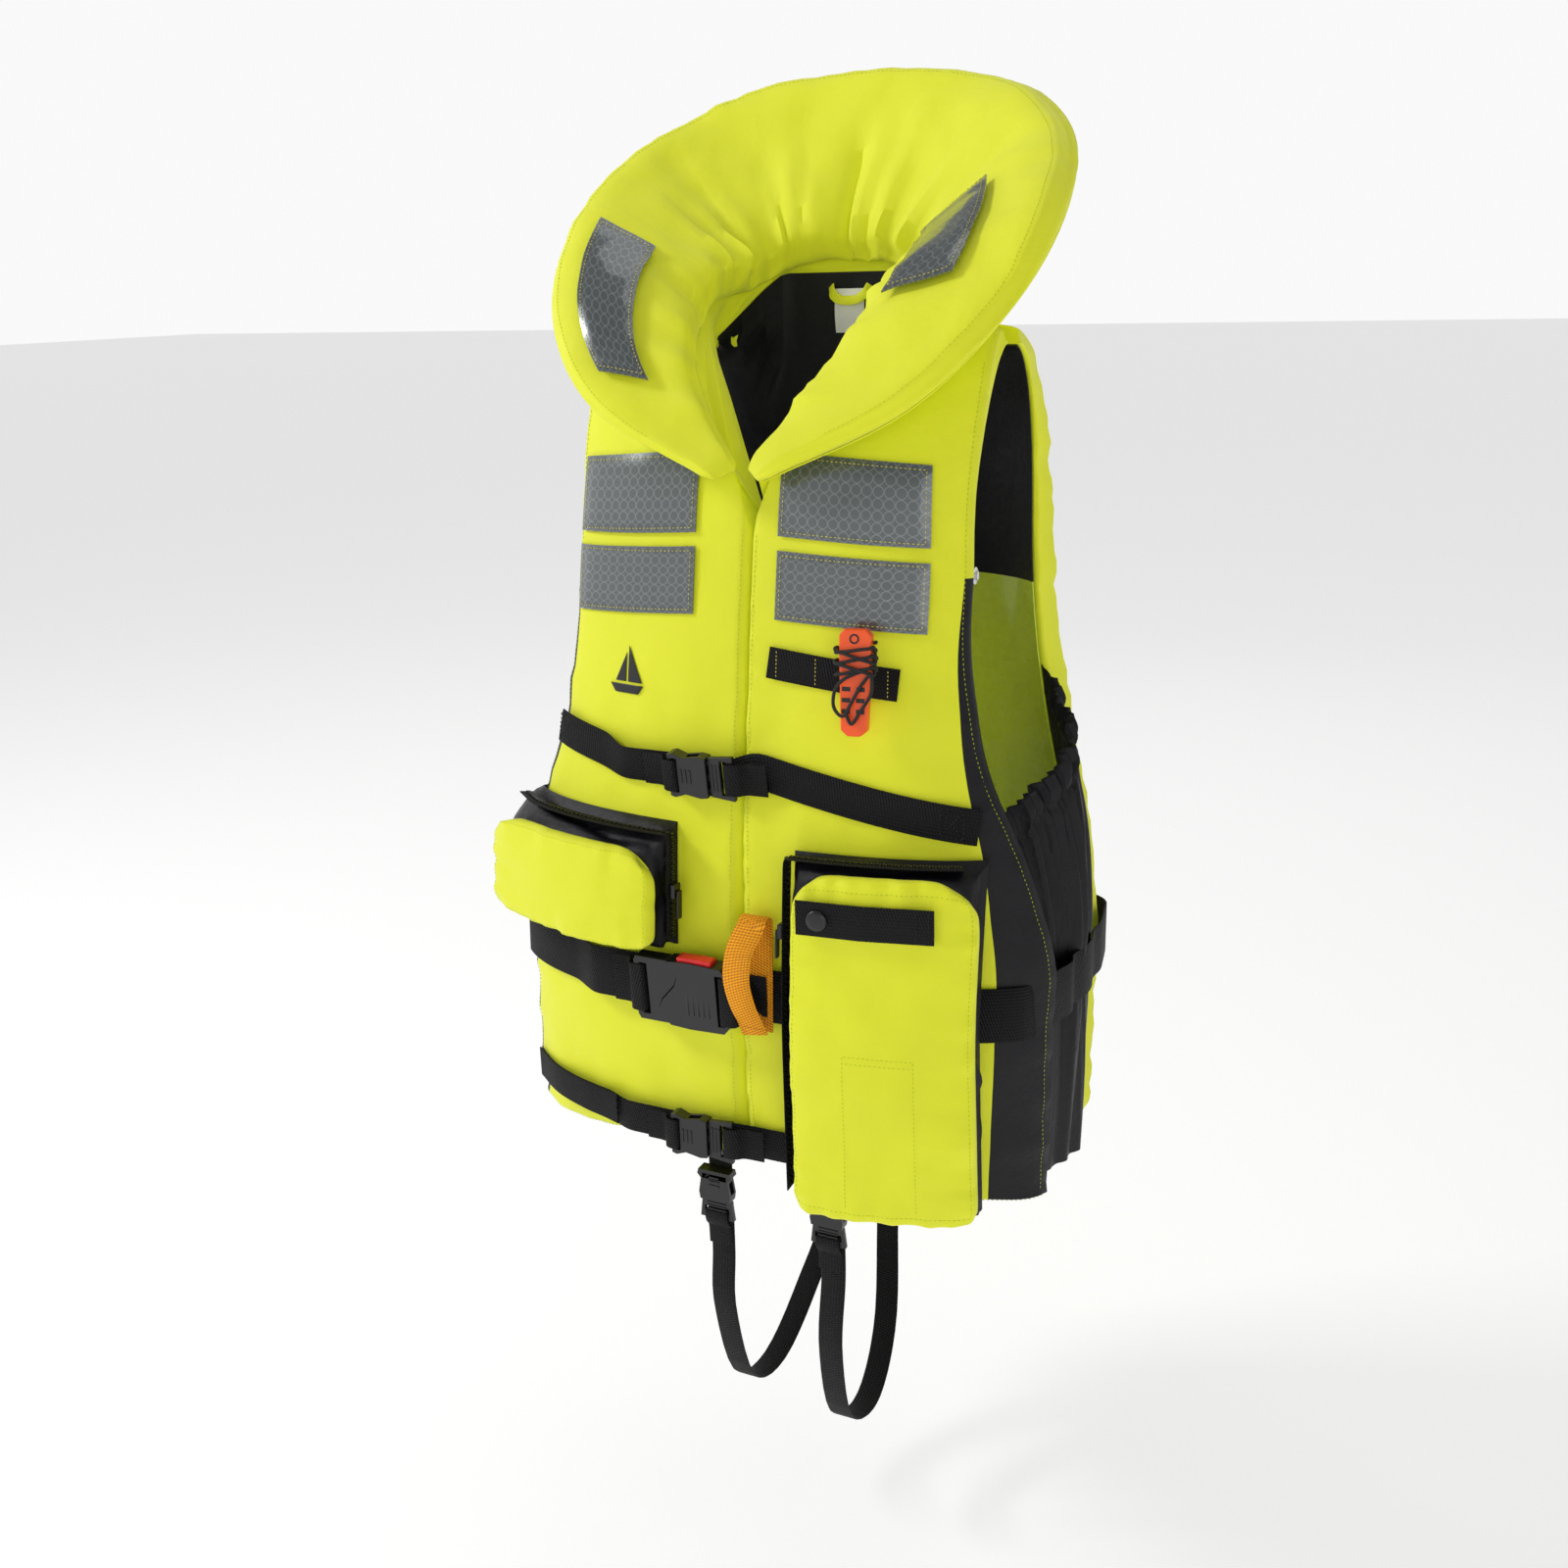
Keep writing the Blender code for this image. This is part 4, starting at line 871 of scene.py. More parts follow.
# ---- padded panels ------------------------------------------------------------------------
def puckers(along, distance, pitch, reach):
    """Small folds that run in from a seam: along is the place on it, distance how far in."""
    return waver(along / pitch, distance / (pitch * 5), 3.7) * math.exp(-distance / reach)


TAPE_HEIGHTS = (("upper", -0.096), ("lower", -0.156))
TAPE_MIDDLE = sum(middle for _, middle in TAPE_HEIGHTS) / len(TAPE_HEIGHTS)


def front_relief(u, v, spot):
    x, y, z = spot
    edge = column(PANEL_EDGES, 1, z)
    inner, outer = abs(x), edge - abs(x)
    low = z - hem_z(x)
    soft = 0.0034 * ripple(x, y, z, 9.0) + 0.0012 * ripple(x + 4, y, z, 30.0)
    seam = 0.0032 * (puckers(z, inner, 0.014, 0.024) + puckers(z + 1, outer, 0.013, 0.028))
    seam += 0.0032 * puckers(x, low, 0.015, 0.026)
    strap = 0.0
    for level, depth in ((CHEST_Z, 0.0010), (WAIST_Z, 0.0016), (HEM_STRAP_Z, 0.0008)):
        strap -= depth * math.exp(-((z - level) / 0.020) ** 2)
        fold = waver(x * 38, level * 7, 1.3)
        strap += 0.0032 * fold * math.exp(-abs(abs(z - level) - 0.030) / 0.016)
    under_tape = math.exp(-((z - TAPE_MIDDLE) / 0.085) ** 4)
    return (soft + seam) * (1 - 0.75 * under_tape) + strap


def back_relief(u, v, spot):
    x, y, z = spot
    edge = column(PANEL_EDGES, 2, z)
    soft = 0.0052 * ripple(x, y, z, 8.0) + 0.0020 * ripple(x, y, z + 7, 26.0)
    seam = 0.0032 * puckers(z, edge - abs(x), 0.013, 0.028)
    seam += 0.0022 * puckers(x, z - SIDE_HEM_Z, 0.014, 0.024)
    belt = -0.0016 * math.exp(-((z - WAIST_Z) / 0.020) ** 2)
    belt += 0.0030 * waver(x * 30, 4.0, 1.3) \
        * math.exp(-abs(abs(z - WAIST_Z) - 0.032) / 0.016)
    return soft + seam + belt


GUSSET_U = 0.8
GUSSET_TOP = -0.15
# Width of the black edge strip of each front panel by height: z, wearer's left, right.
GUSSET = np.array((
    (-0.640, 0.030, 0.008),
    (-0.400, 0.030, 0.008),
    (-0.340, 0.022, 0.008),
    (-0.280, 0.012, 0.007),
    (-0.160, 0.005, 0.005),
    (0.060, 0.005, 0.005),
))


def gusseted(panel, side):
    """The same panel with its columns shifted, so that one follows the edge strip's seam."""
    def warp(u, v):
        share = u if side > 0 else 1 - u
        z = panel.place(u, v)[2]
        seam = 1 - column(GUSSET, 1 if side > 0 else 2, z) / column(PANEL_EDGES, 1, z)
        if share < GUSSET_U:
            share = share / GUSSET_U * seam
        else:
            share = seam + (share - GUSSET_U) / (1 - GUSSET_U) * (1 - seam)
        return share if side > 0 else 1 - share

    return Panel(lambda u, v: panel.place(warp(u, v), v),
                 lambda u, v: panel.normal(warp(u, v), v),
                 lambda u, v: panel.height(warp(u, v), v))


def build_fronts():
    for side, tag in ((1, "l"), (-1, "r")):
        panel = front_panel(side)
        cover = pad("front_panel_" + tag, gusseted(panel, side), 40, 84, front_relief,
                    [HI_VIS, NYLON], crowd=1.7,
                    side_mat=lambda middle: abs(middle[0]) > 0.10 and middle[2] < -0.155,
                    face_mat=lambda u, z: (u if side > 0 else 1 - u) > GUSSET_U
                    and z < GUSSET_TOP)
        place_piece(cover, "vest", "hi_vis_fabric", "front_cover_" + tag, "front_foam_" + tag)
        lining("front_liner_" + tag, panel, 24, 48, NYLON, "black_nylon", "front_lining_" + tag)


def lining(name, panel, columns, rows, mat, slot, node, v0=0.0, v1=1.0, quilt=0.0012):
    """The sheet against the wearer, quilted a little between its seams."""
    us, vs = np.linspace(0, 1, columns + 1), np.linspace(v0, v1, rows + 1)
    if v1 == 1.0:
        vs = 1.0 - (1.0 - np.linspace(v0, 1, rows + 1)) * np.linspace(1, 0, rows + 1) ** 0.7
        vs[0] = v0

    def layers(u, v):
        spot, away = panel.place(u, v), panel.normal(u, v)
        soft = smoothstep(0.0, 0.08, min(u, 1 - u, (v - v0) * 1.5, (v1 - v) * 1.5))
        deep = quilt * soft * (0.6 + 1.4 * abs(ripple(*spot, 18.0)))
        return (spot - away * GAP, spot - away * (GAP + 0.0008 + deep),
                (spot[0] if abs(away[0]) < 0.8 else spot[1], spot[2]))

    place_piece(sheet(name, us, vs, mat, layers), "vest", slot, node)


LINING_SPLIT = 1.0 - (1.0 - 6 / 11) ** 1.6


def build_back():
    panel = back_panel()
    cover = pad("back_panel", panel, 72, 84, back_relief, [HI_VIS], crowd=1.7)
    place_piece(cover, "vest", "hi_vis_fabric", "back_cover", "back_foam")
    lining("back_liner_lower", panel, 48, 34, COATED, "coated_lining", "back_lining_lower",
           0.0, LINING_SPLIT, 0.0022)
    lining("back_liner_upper", panel, 48, 30, NYLON, "black_nylon", "back_lining_upper",
           LINING_SPLIT, 1.0, 0.0018)


# Middle of each collar patch, in shares of the collar's length and height.
COLLAR_TAPES = {"r": (0.130, 0.57), "l": (0.800, 0.42)}


def collar_relief(u, v, spot):
    x, y, z = spot
    around = (2 * u - 1) * 0.42
    gather = waver(around * 46, v * 1.2, 0.4)
    gather += 0.6 * waver(around * 95, v * 1.6, 2.4)
    folds = 0.0150 * gather * math.exp(-v / 0.34) * (1.0 - abs(2 * u - 1) ** 4)
    dart = -0.0075 * math.exp(-(x / 0.0035) ** 2) * smoothstep(0.80, 0.35, v) if y > 0 else 0.0
    dart -= 0.0032 * math.exp(-(x / 0.020) ** 2) * smoothstep(0.9, 0.3, v) if y > 0 else 0.0
    soft = 0.0075 * ripple(x, y, z, 10.0) + 0.0022 * ripple(x, y, z + 3, 34.0)
    rim = 0.0030 * waver(around * 80, 5.0, 0.0) * math.exp(-(1 - v) / 0.10)
    calm = 1.0
    for share, rise in COLLAR_TAPES.values():
        calm -= 0.8 * math.exp(-((u - share) / 0.080) ** 4 - ((v - rise) / 0.27) ** 4)
    return folds * calm + dart + soft * (0.4 + 0.6 * calm) + rim


def build_collar():
    panel = collar_panel()
    cover = pad("collar_pad", panel, 132, 34, collar_relief, [HI_VIS], bulge=0.0040)
    place_piece(cover, "vest", "hi_vis_fabric", "collar_cover", "collar_foam")

    def layers(u, v):
        spot, away = panel.place(u, v), panel.normal(u, v)
        swell = 0.0052 * (1 - abs(2 * u - 1) ** 6) * math.sin(math.pi * v) ** 0.7
        swell *= 0.75 + 0.9 * abs(ripple(*spot, 15.0))
        return (spot - away * GAP, spot - away * (GAP + 0.0008 + max(swell, 0.0)),
                ((2 * u - 1) * 0.45, v * 0.14))

    under = sheet("collar_back", np.linspace(0, 1, 97), np.linspace(0, 1, 21), HI_VIS, layers)
    place_piece(under, "vest", "hi_vis_fabric", "collar_under")
    stitches("collar_stitches", relieved(panel, collar_relief, [((0.03, 0.95), (0.97, 0.95))]),
             YELLOW_THREAD, "vest", "hi_vis_fabric")


def relieved(panel, relief, runs, lift=0.0002, count=160):
    """Runs that follow a panel's face with its relief."""
    made = []
    for (u0, v0), (u1, v1) in runs:
        points, normals = [], []
        for t in np.linspace(0, 1, count):
            u, v = u0 + (u1 - u0) * t, v0 + (v1 - v0) * t
            spot, away = panel.place(u, v), panel.normal(u, v)
            points.append(spot + away * (panel.height(u, v) + relief(u, v, spot) + lift))
            normals.append(away)
        made.append((points, normals))
    return made


# ---- side panels --------------------------------------------------------------------------
SIDE_FRONT_TOP, SIDE_BACK_TOP, ELASTIC_WIDTH = -0.335, -0.250, 0.018
# How far the cloth reaches, in shares of the way from the front panel to the back panel.
SIDE_FROM, SIDE_TO = 0.006, 0.997


def build_sides():
    """Loose side panels gathered by the elastic in their top edge."""
    columns, rows = 96, 60
    elastic = ELASTIC_WIDTH / 2
    for side, tag in ((1, "l"), (-1, "r")):
        shares = np.linspace(SIDE_FROM, SIDE_TO, columns + 1)
        if side < 0:
            shares = shares[::-1]
        levels = 1.0 - (1.0 - np.linspace(0, 1, rows + 1)) ** 1.35

        def layers(q, v):
            top = SIDE_FRONT_TOP + (SIDE_BACK_TOP - SIDE_FRONT_TOP) * q + ELASTIC_WIDTH
            z = SIDE_HEM_Z + (top - SIDE_HEM_Z) * v
            down = top - z
            ends = min(1.0, q / 0.08, (1 - q) / 0.08)
            wave = waver(q * 26.0, side * 3.0, down * 3.0)
            fine = waver(q * 58.0, side * 5.0, down * 6.0)
            gather = 0.0105 * wave * math.exp(-down / 0.10) \
                + 0.0060 * fine * math.exp(-down / 0.045)
            long_fold = 0.0080 * waver(q * 7.0, side, z * 4.5)
            channel = 0.0032 * math.exp(-((down - elastic) / 0.007) ** 2)
            pinch = -0.0030 * math.exp(-((down - 0.021) / 0.003) ** 2)
            belt = -0.0020 * math.exp(-((z - WAIST_Z) / 0.020) ** 2)
            swell = (gather + long_fold + channel + pinch + belt) * ends + 0.0016
            spot = side_point(side, q, z, max(swell, -0.004))
            if down < 0.001:
                spot[2] += 0.0022 * fine * ends
            thick = 0.0009 + 0.0034 * math.exp(-((down - elastic) / 0.008) ** 2) * ends
            return spot, spot - np.array([side * thick, 0, 0]), (q * 0.24, z)

        obj = sheet("side_cloth_" + tag, shares, levels, NYLON, layers)
        place_piece(obj, "vest", "black_nylon", "side_panel_" + tag)


# ---- pockets ------------------------------------------------------------------------------
def gusset_loft(name, side, inner, outer, low, high, lift, wall, drop):
    """The black walls of a pocket, folded, leaning back from the face to the cover."""
    around = []
    for (x0, z0), (x1, z1) in (((0, 0), (1, 0)), ((1, 0), (1, 1)), ((1, 1), (0, 1)),
                               ((0, 1), (0, 0))):
        length = (outer - inner) if z0 == z1 else (high - low)
        count = max(8, int(length / 0.004))
        around += [(x0 + (x1 - x0) * k / count, z0 + (z1 - z0) * k / count)
                   for k in range(count)]
    levels = np.linspace(0, 1, 9)
    verts, uvs, faces = [], [], []
    for t in levels:
        for k, (a, b) in enumerate(around):
            x0, x1 = inner + FACE_INNER * t, outer - FACE_OUTER * t
            z1 = high - drop * t
            share, rise = rounded(a, b, x1 - x0, z1 - low)
            share, rise = a + (share - a) * t ** 3, b + (rise - b) * t ** 3
            x, z = x0 + (x1 - x0) * share, low + (z1 - low) * rise
            out = np.array([(a > 0.5) * 2.0 - 1.0 if b not in (0, 1) else 0.0,
                            (b > 0.5) * 2.0 - 1.0 if a not in (0, 1) else 0.0])
            if not out.any():
                out = np.array([a * 2 - 1, b * 2 - 1]) * 0.7
            crease = waver(x * 34 + t * 1.5, z * 34, t * 2.2 + side)
            swell = 0.0060 * crease * math.sin(math.pi * t) - 0.0016 * math.sin(math.pi * t)
            x, z = x + out[0] * swell, z + out[1] * swell
            verts.append(front_outer(side * x, z, lift + wall * t + 0.0003))
            uvs.append((k * 0.004, t * wall))
    count = len(around)
    for ring in range(len(levels) - 1):
        for k in range(count):
            j = (k + 1) % count
            faces.append((ring * count + k, ring * count + j,
                          (ring + 1) * count + j, (ring + 1) * count + k))
    for ring in (0, len(levels) - 1):
        middle = len(verts)
        verts.append(sum(verts[ring * count:(ring + 1) * count]) / count)
        uvs.append((0.0, 0.0))
        for k in range(count):
            j = (k + 1) % count
            pair = (ring * count + j, ring * count + k)
            faces.append((pair if ring == 0 else pair[::-1]) + (middle,))
    if side < 0:
        faces = [f[::-1] for f in faces]
    return mesh_piece(name, verts, faces, NYLON, uvs, None, SHARP_LOFT)


# How much lower a pocket's face ends than its base.
POCKET_DROP = {"r": 0.019, "l": 0.010}
# How far the face's inner and outer edges stand in from the base, and the wall's share of depth.
FACE_INNER, FACE_OUTER, WALL_SHARE = 0.006, 0.004, 0.62


def build_pockets():
    for tag, side, inner, outer, low, high, depth, lift in POCKETS:
        wall = depth * WALL_SHARE
        tall = high - low
        drop = POCKET_DROP[tag]
        gusset = gusset_loft("pocket_gusset_" + tag, side, inner, outer, low, high, lift, wall,
                             drop)
        place_piece(gusset, "vest", "black_nylon", "pocket_bag_" + tag)

        def face_relief(u, v, spot, tall=tall, side=side):
            x, y, z = spot
            left, right = u * 0.12, (1 - u) * 0.12
            soft = 0.0066 * ripple(x, y + side, z, 11.0) + 0.0022 * ripple(x, y, z + 5, 34.0)
            seam = 0.0036 * (puckers(z, left, 0.010, 0.016) + puckers(z + 2, right, 0.010, 0.016)
                             + puckers(x, v * tall, 0.010, 0.016)
                             + puckers(x + 2, (1 - v) * tall, 0.010, 0.018))
            sag = 0.0024 * math.sin(math.pi * u) * math.sin(math.pi * v)
            return soft + seam + sag - 0.0012

        panel = pocket_panel(side, inner + FACE_INNER, outer - FACE_OUTER, low, high - drop,
                             depth, lift)
        face = pad("pocket_front_" + tag, panel, 40, int(26 + tall * 150), face_relief, [HI_VIS],
                   low=wall + GAP, bulge=0.0014, walls=3)
        place_piece(face, "vest", "hi_vis_fabric", "pocket_face_" + tag)
        rim = [((0.025, 0.03), (0.025, 0.97)), ((0.025, 0.97), (0.975, 0.97)),
               ((0.975, 0.97), (0.975, 0.03)), ((0.975, 0.03), (0.025, 0.03))]
        if tag == "l":
            rim += [((0.34, 0.045), (0.34, 0.52)), ((0.34, 0.52), (0.72, 0.52)),
                    ((0.72, 0.52), (0.72, 0.045)), ((0.35, 0.50), (0.71, 0.50))]
        stitches("pocket_stitches_" + tag, relieved(panel, face_relief, rim, 0.0001),
                 YELLOW_THREAD, "vest", "hi_vis_fabric")
        build_zip(tag, side, inner, outer, low, high - 0.45 * drop, lift + wall * 0.55)


def build_zip(tag, side, inner, outer, low, high, level):
    """Zip tape, its chain of teeth, the slider and the puller."""
    off = 0.0016
    top_run = [(x, high + off) for x in np.linspace(outer - 0.012, inner + 0.004, 9)]
    corner = [(inner - 0.8 * off, high + 0.8 * off)]
    side_run = [(inner - off, z) for z in np.linspace(high - 0.004, low + 0.008, 14)]
    spots = top_run + corner + side_run
    points = [front_outer(side * x, z, level) for x, z in spots]
    across = [front_normal(side * x, z) for x, z in spots]
    tape = strap("zip_tape_" + tag, points, across, 0.014, WEB, 0.0010, 0.003)
    place_piece(tape, "vest", "black_webbing", "pocket_zip_" + tag)
    fine, marks = resample(points, 0.0021)
    ways = read_along(marks, run_lengths(points), across)
    verts, faces = [], []
    for i in range(1, len(fine) - 1):
        along = unit(fine[i + 1] - fine[i - 1])
        deep = unit(ways[i] - along * np.dot(along, ways[i]))
        out = np.cross(along, deep)
        middle = fine[i] + deep * (0.0007 if i % 2 else -0.0007)
        block(verts, faces, middle, (out, along, deep), (0.0030, 0.0013, 0.0034))
    chain = mesh_piece("zip_teeth_" + tag, verts, faces, BLACK, sharp=SHARP_BAR)
    place_piece(chain, "vest", "black_webbing")
    refined("zip_slider_body_" + tag, "zip_slider_" + tag, 0.0011, DARK_METAL,
            "slider_" + tag, "blackened_metal")
    refined("zip_puller_" + tag, "zip_pull_" + tag, 0.0005, DARK_METAL,
            "pull_" + tag, "blackened_metal")


build_fronts()
build_back()
build_collar()
build_sides()
build_pockets()


# ---- straps -------------------------------------------------------------------------------
# Half the length of front that a buckle has to clear, and a strap's straight end beside it.
BUCKLE_REACH, STRAIGHT = 0.070, 0.012


def front_run(start, stop, lift=LIFT, steps=28):
    spots = [(start[0] + (stop[0] - start[0]) * t, start[1] + (stop[1] - start[1]) * t)
             for t in np.linspace(0, 1, steps + 1)]
    points = [front_outer(x, z, lift + WEBBING / 2 + 0.0008) for x, z in spots]
    return points, [up_on_front(x, z) for x, z in spots]


def right_strap(name, node, start, place, end, width, flat_from):
    run, ways = front_run(start, (flat_from - STRAIGHT, place.translation.z))
    straight = [in_frame(place, x - place.translation.x, BEHIND, 0.0)
                for x in (flat_from, flat_from + 0.02, end)]
    ways = ways + [axes_of(place)[2]] * 3
    obj = strap(name, run + straight, ways, width, WEB, smooth=2)
    place_piece(obj, "vest", "black_webbing", node)
    return run, ways


def left_strap(name, node, place, start, stop, width):
    straight = [in_frame(place, x - place.translation.x, BEHIND, 0.0)
                for x in (start, start + STRAIGHT)]
    run, ways = front_run((start + 2 * STRAIGHT, place.translation.z), stop)
    ways = [axes_of(place)[2]] * 2 + ways
    obj = strap(name, straight + run, ways, width, WEB, smooth=2)
    place_piece(obj, "vest", "black_webbing", node)
    return run, ways


def wrap(name, place, inner, outer, width, back, front, body):
    """Webbing turned round a buckle's bar: x of its slot and of its outer edge, y levels."""
    side = 1.0 if outer > inner else -1.0
    route = [(inner - side * 0.0002, back), (inner, (back + front) / 2),
             (inner + side * 0.0006, front), (inner + side * 0.004, front - 0.0006),
             (outer, front - 0.0003), (outer + side * 0.004, front + 0.0012),
             (outer + side * 0.009, back - WEBBING - 0.0012),
             (outer + side * 0.024, back - WEBBING - 0.0004)]
    points = through([in_frame(place, x, y, 0.0) for x, y in route], 40)
    obj = strap(name, points, axes_of(place)[2], width, WEB, 0.0013, 0.0015)
    place_piece(obj, body, "black_webbing")


BUCKLE_THICK, SOCKET_LENGTH, TONGUE_END = 0.010, 0.030, 0.020


def release_buckle(prefix, place, width, socket_body, tongue_body, reach=1.0):
    refined(prefix + "_socket_body", prefix + "_socket", 0.0011, BLACK, socket_body,
            "black_plastic")
    refined(prefix + "_tongue_body", prefix + "_tongue", 0.0008, BLACK, tongue_body,
            "black_plastic")
    across = [axes_of(place)[k] for k in (1, 0, 2)]
    bars(prefix + "_socket_ribs",
         [in_frame(place, -0.0125 + 0.0035 * k - 0.0075, -BUCKLE_THICK - 0.0002, 0.0)
          for k in range(3)],
         across, (0.0009, 0.0014, width * 0.42), socket_body, "black_plastic")
    bars(prefix + "_tongue_ribs",
         [in_frame(place, 0.0035 + 0.0028 * k, -BUCKLE_THICK + 0.0028, 0.0) for k in range(3)],
         across, (0.0009, 0.0012, width * 0.8), tongue_body, "black_plastic")
    if reach == 1.0:
        wrap(prefix + "_socket_wrap", place, -SOCKET_LENGTH + 0.0058, -SOCKET_LENGTH,
             width - 0.001, -0.0004, -BUCKLE_THICK - 0.0012, socket_body)
    end = TONGUE_END * reach
    wrap(prefix + "_tongue_wrap", place, end - 0.0068, end, width - 0.001,
         -0.0008, -BUCKLE_THICK + 0.0018, tongue_body)


def seam_box(run, ways, index, width, length):
    """A sewn box with a cross in it, on webbing: index of the run's point it starts at."""
    start = np.asarray(run[index])
    along = unit(np.asarray(run[index + 1]) - start)
    up = unit(ways[index])
    normal = facing_out(unit(np.cross(up, along)))
    half = width / 2 - 0.003
    corner = [start + up * half, start + along * length + up * half,
              start + along * length - up * half, start - up * half]
    lift = normal * (WEBBING / 2 + 0.0002)
    loop = [p + lift for p in corner + corner[:1]] + [corner[2] + lift]
    cross = [corner[1] + lift, corner[3] + lift]
    return [([a, b], [normal, normal]) for a, b in zip(loop, loop[1:])] \
        + [(cross, [normal, normal])]


def build_chest():
    place = buckle_frame(CHEST_AT, CHEST_Z, BUCKLE_REACH)
    run, ways = right_strap("chest_webbing_r", "chest_strap_r", (-0.148, CHEST_Z + 0.008), place,
                            CHEST_AT - 0.012, NARROW_WEB, CHEST_AT - 0.075)
    left, left_ways = left_strap("chest_webbing_l", "chest_strap_l", place, CHEST_AT + 0.008,
                                 (0.152, -0.318), NARROW_WEB)
    stitches("chest_strap_stitches", seam_box(run, ways, 0, NARROW_WEB, 0.018)
             + seam_box(left, left_ways[2:], len(left) - 5, NARROW_WEB, 0.016),
             BLACK_THREAD, "vest", "black_webbing", 0.003, 0.0004)
    release_buckle("chest_buckle", place, NARROW_WEB, "chest_socket", "vest")


def build_hem():
    place = buckle_frame(HEM_AT, HEM_STRAP_Z, BUCKLE_REACH)
    right_strap("hem_webbing_r", "hem_strap_r", (STRAP_OUTER, HEM_STRAP_Z), place,
                HEM_AT - 0.012, NARROW_WEB, HEM_AT - 0.075)
    left_strap("hem_webbing_l", "hem_strap_l", place, HEM_AT + 0.008, (0.0345, HEM_STRAP_Z),
               NARROW_WEB)
    release_buckle("hem_buckle", place, NARROW_WEB, "hem_socket", "vest")
    spots = [(-0.182, 0.0), (-0.160, 0.0004), (-0.134, 0.0014), (-0.114, 0.0022), (-0.100, 0.0044)]
    tail = [front_outer(x, HEM_STRAP_Z + 0.003, LIFT + 2.0 * WEBBING + 0.0014 + lift)
            for x, lift in spots]
    obj = strap("hem_tail", through(tail, 40), (0, 0, 1), NARROW_WEB, WEB)
    place_piece(obj, "vest", "black_webbing")


def build_waist():
    place = buckle_frame(WAIST_AT, WAIST_Z, BUCKLE_REACH)
    right_strap("waist_webbing_r", "waist_strap_r", (STRAP_OUTER, WAIST_Z), place,
                WAIST_AT - 0.014, WAIST_WEB, WAIST_AT - 0.078)
    start = WAIST_AT + 0.030
    straight = [in_frame(place, x - place.translation.x, BEHIND, 0.0)
                for x in (start, start + STRAIGHT)]
    front, ways = front_run((start + 2 * STRAIGHT, WAIST_Z), (0.180, WAIST_Z), 0.0012)
    lift, corner_lift = 0.0048, 0.016
    shares = np.linspace(0.22, 0.72, 9)
    left = [side_point(1, 0.12, WAIST_Z, corner_lift)]
    left += [side_point(1, q, WAIST_Z, lift) for q in shares]
    left.append(side_point(1, 0.88, WAIST_Z, corner_lift))
    reach = 0.965 * column(PANEL_EDGES, 2, WAIST_Z)
    back = [back_outer(x, WAIST_Z, lift + 0.003) for x in np.linspace(reach, -reach, 31)]
    right = [side_point(-1, 0.88, WAIST_Z, corner_lift)]
    right += [side_point(-1, q, WAIST_Z, lift) for q in shares[::-1]]
    around = left + back + right
    ways = [axes_of(place)[2]] * 2 + ways + [(0, 0, 1)] * len(around)
    obj = strap("waist_webbing_l", straight + front + around, ways, WAIST_WEB, WEB, smooth=3)
    place_piece(obj, "vest", "black_webbing", "waist_strap_l")

    refined("waist_housing_body", "waist_buckle_housing", 0.0016, BLACK, "vest", "black_plastic", 4)
    refined("waist_tongue_body", "waist_buckle_tongue", 0.0013, BLACK, "waist_tongue",
            "black_plastic", 4)
    refined("waist_press_button", "waist_button", 0.0013, RED, "button", "red_plastic", 4)
    wrap("waist_wrap_l", place, 0.0382, 0.0460, 0.038, 0.0002, -0.0148, "vest")
    wrap("waist_wrap_r", place, -0.0245, -0.0320, 0.038, -0.0010, -0.0134, "waist_tongue")
    across = [axes_of(place)[k] for k in (1, 0, 2)]
    bars("waist_housing_ribs",
         [in_frame(place, 0.0115 + 0.0042 * k, -0.0141, -0.006) for k in range(5)],
         across, (0.0007, 0.0016, 0.019), "vest", "black_plastic")
    refined("waist_ring_body", "waist_ring", 0.0004, STEEL, "ring", "steel")
    centre = box_centre("waist_ring")
    route = [centre + (x, y, 0.0) for x, y in (
        (0.004, 0.010), (-0.0005, 0.0085), (-0.0042, 0.006), (-0.0040, 0.011), (0.0005, 0.018))]
    obj = strap("ring_tab", through(route, 24), (0, 0, 1), 0.030, WEB, 0.0013, 0.0015)
    place_piece(obj, "vest", "black_webbing")


build_chest()
build_hem()
build_waist()


# ---- fittings -----------------------------------------------------------------------------
# The flap across the big pocket: x of its free end and of its sewn end, and its height.
FLAP = (0.057, 0.134, -0.374)


def build_flap():
    free, sewn, z = FLAP
    above = POCKETS[1][6] + POCKETS[1][7] + 0.0026
    start, middle, stop = (front_outer(x, z, above) for x in (free, (free + sewn) / 2, sewn))
    away = facing_out(unit(np.cross(middle - start, (0, 0, 1))))
    obj = strap("flap_webbing", [start, middle, stop], (0, 0, 1), NARROW_WEB, WEB, step=0.003)
    place_piece(obj, "flap", "black_webbing", "flap_strap")
    cap = turned("press_stud_dome", box_centre("press_stud_cap") - away * 0.0013, away,
                 ((0.0074, 0.0), (0.0076, 0.0006), (0.0074, 0.0014), (0.0066, 0.0021),
                  (0.0050, 0.0026), (0.0028, 0.0029), (0.0006, 0.0030)), 32, BLACK, 50)
    place_piece(cap, "flap", "black_plastic", "press_stud_cap")
    along = unit(stop - middle)
    up = np.array([0.0, 0.0, 0.0105])
    face = away * (WEBBING / 2 + 0.0002)
    runs = [([stop - along * at + up + face, stop - along * at - up + face], [away, away])
            for at in (0.0035, 0.0120)]
    stitches("flap_stitches", runs, BLACK_THREAD, "flap", "black_webbing", 0.0022, 0.0004)


BECKET_AT = (0.019, -0.470)
BECKET_LENGTH, BECKET_RADIUS, BECKET_WEB = 0.088, 0.007, 0.021


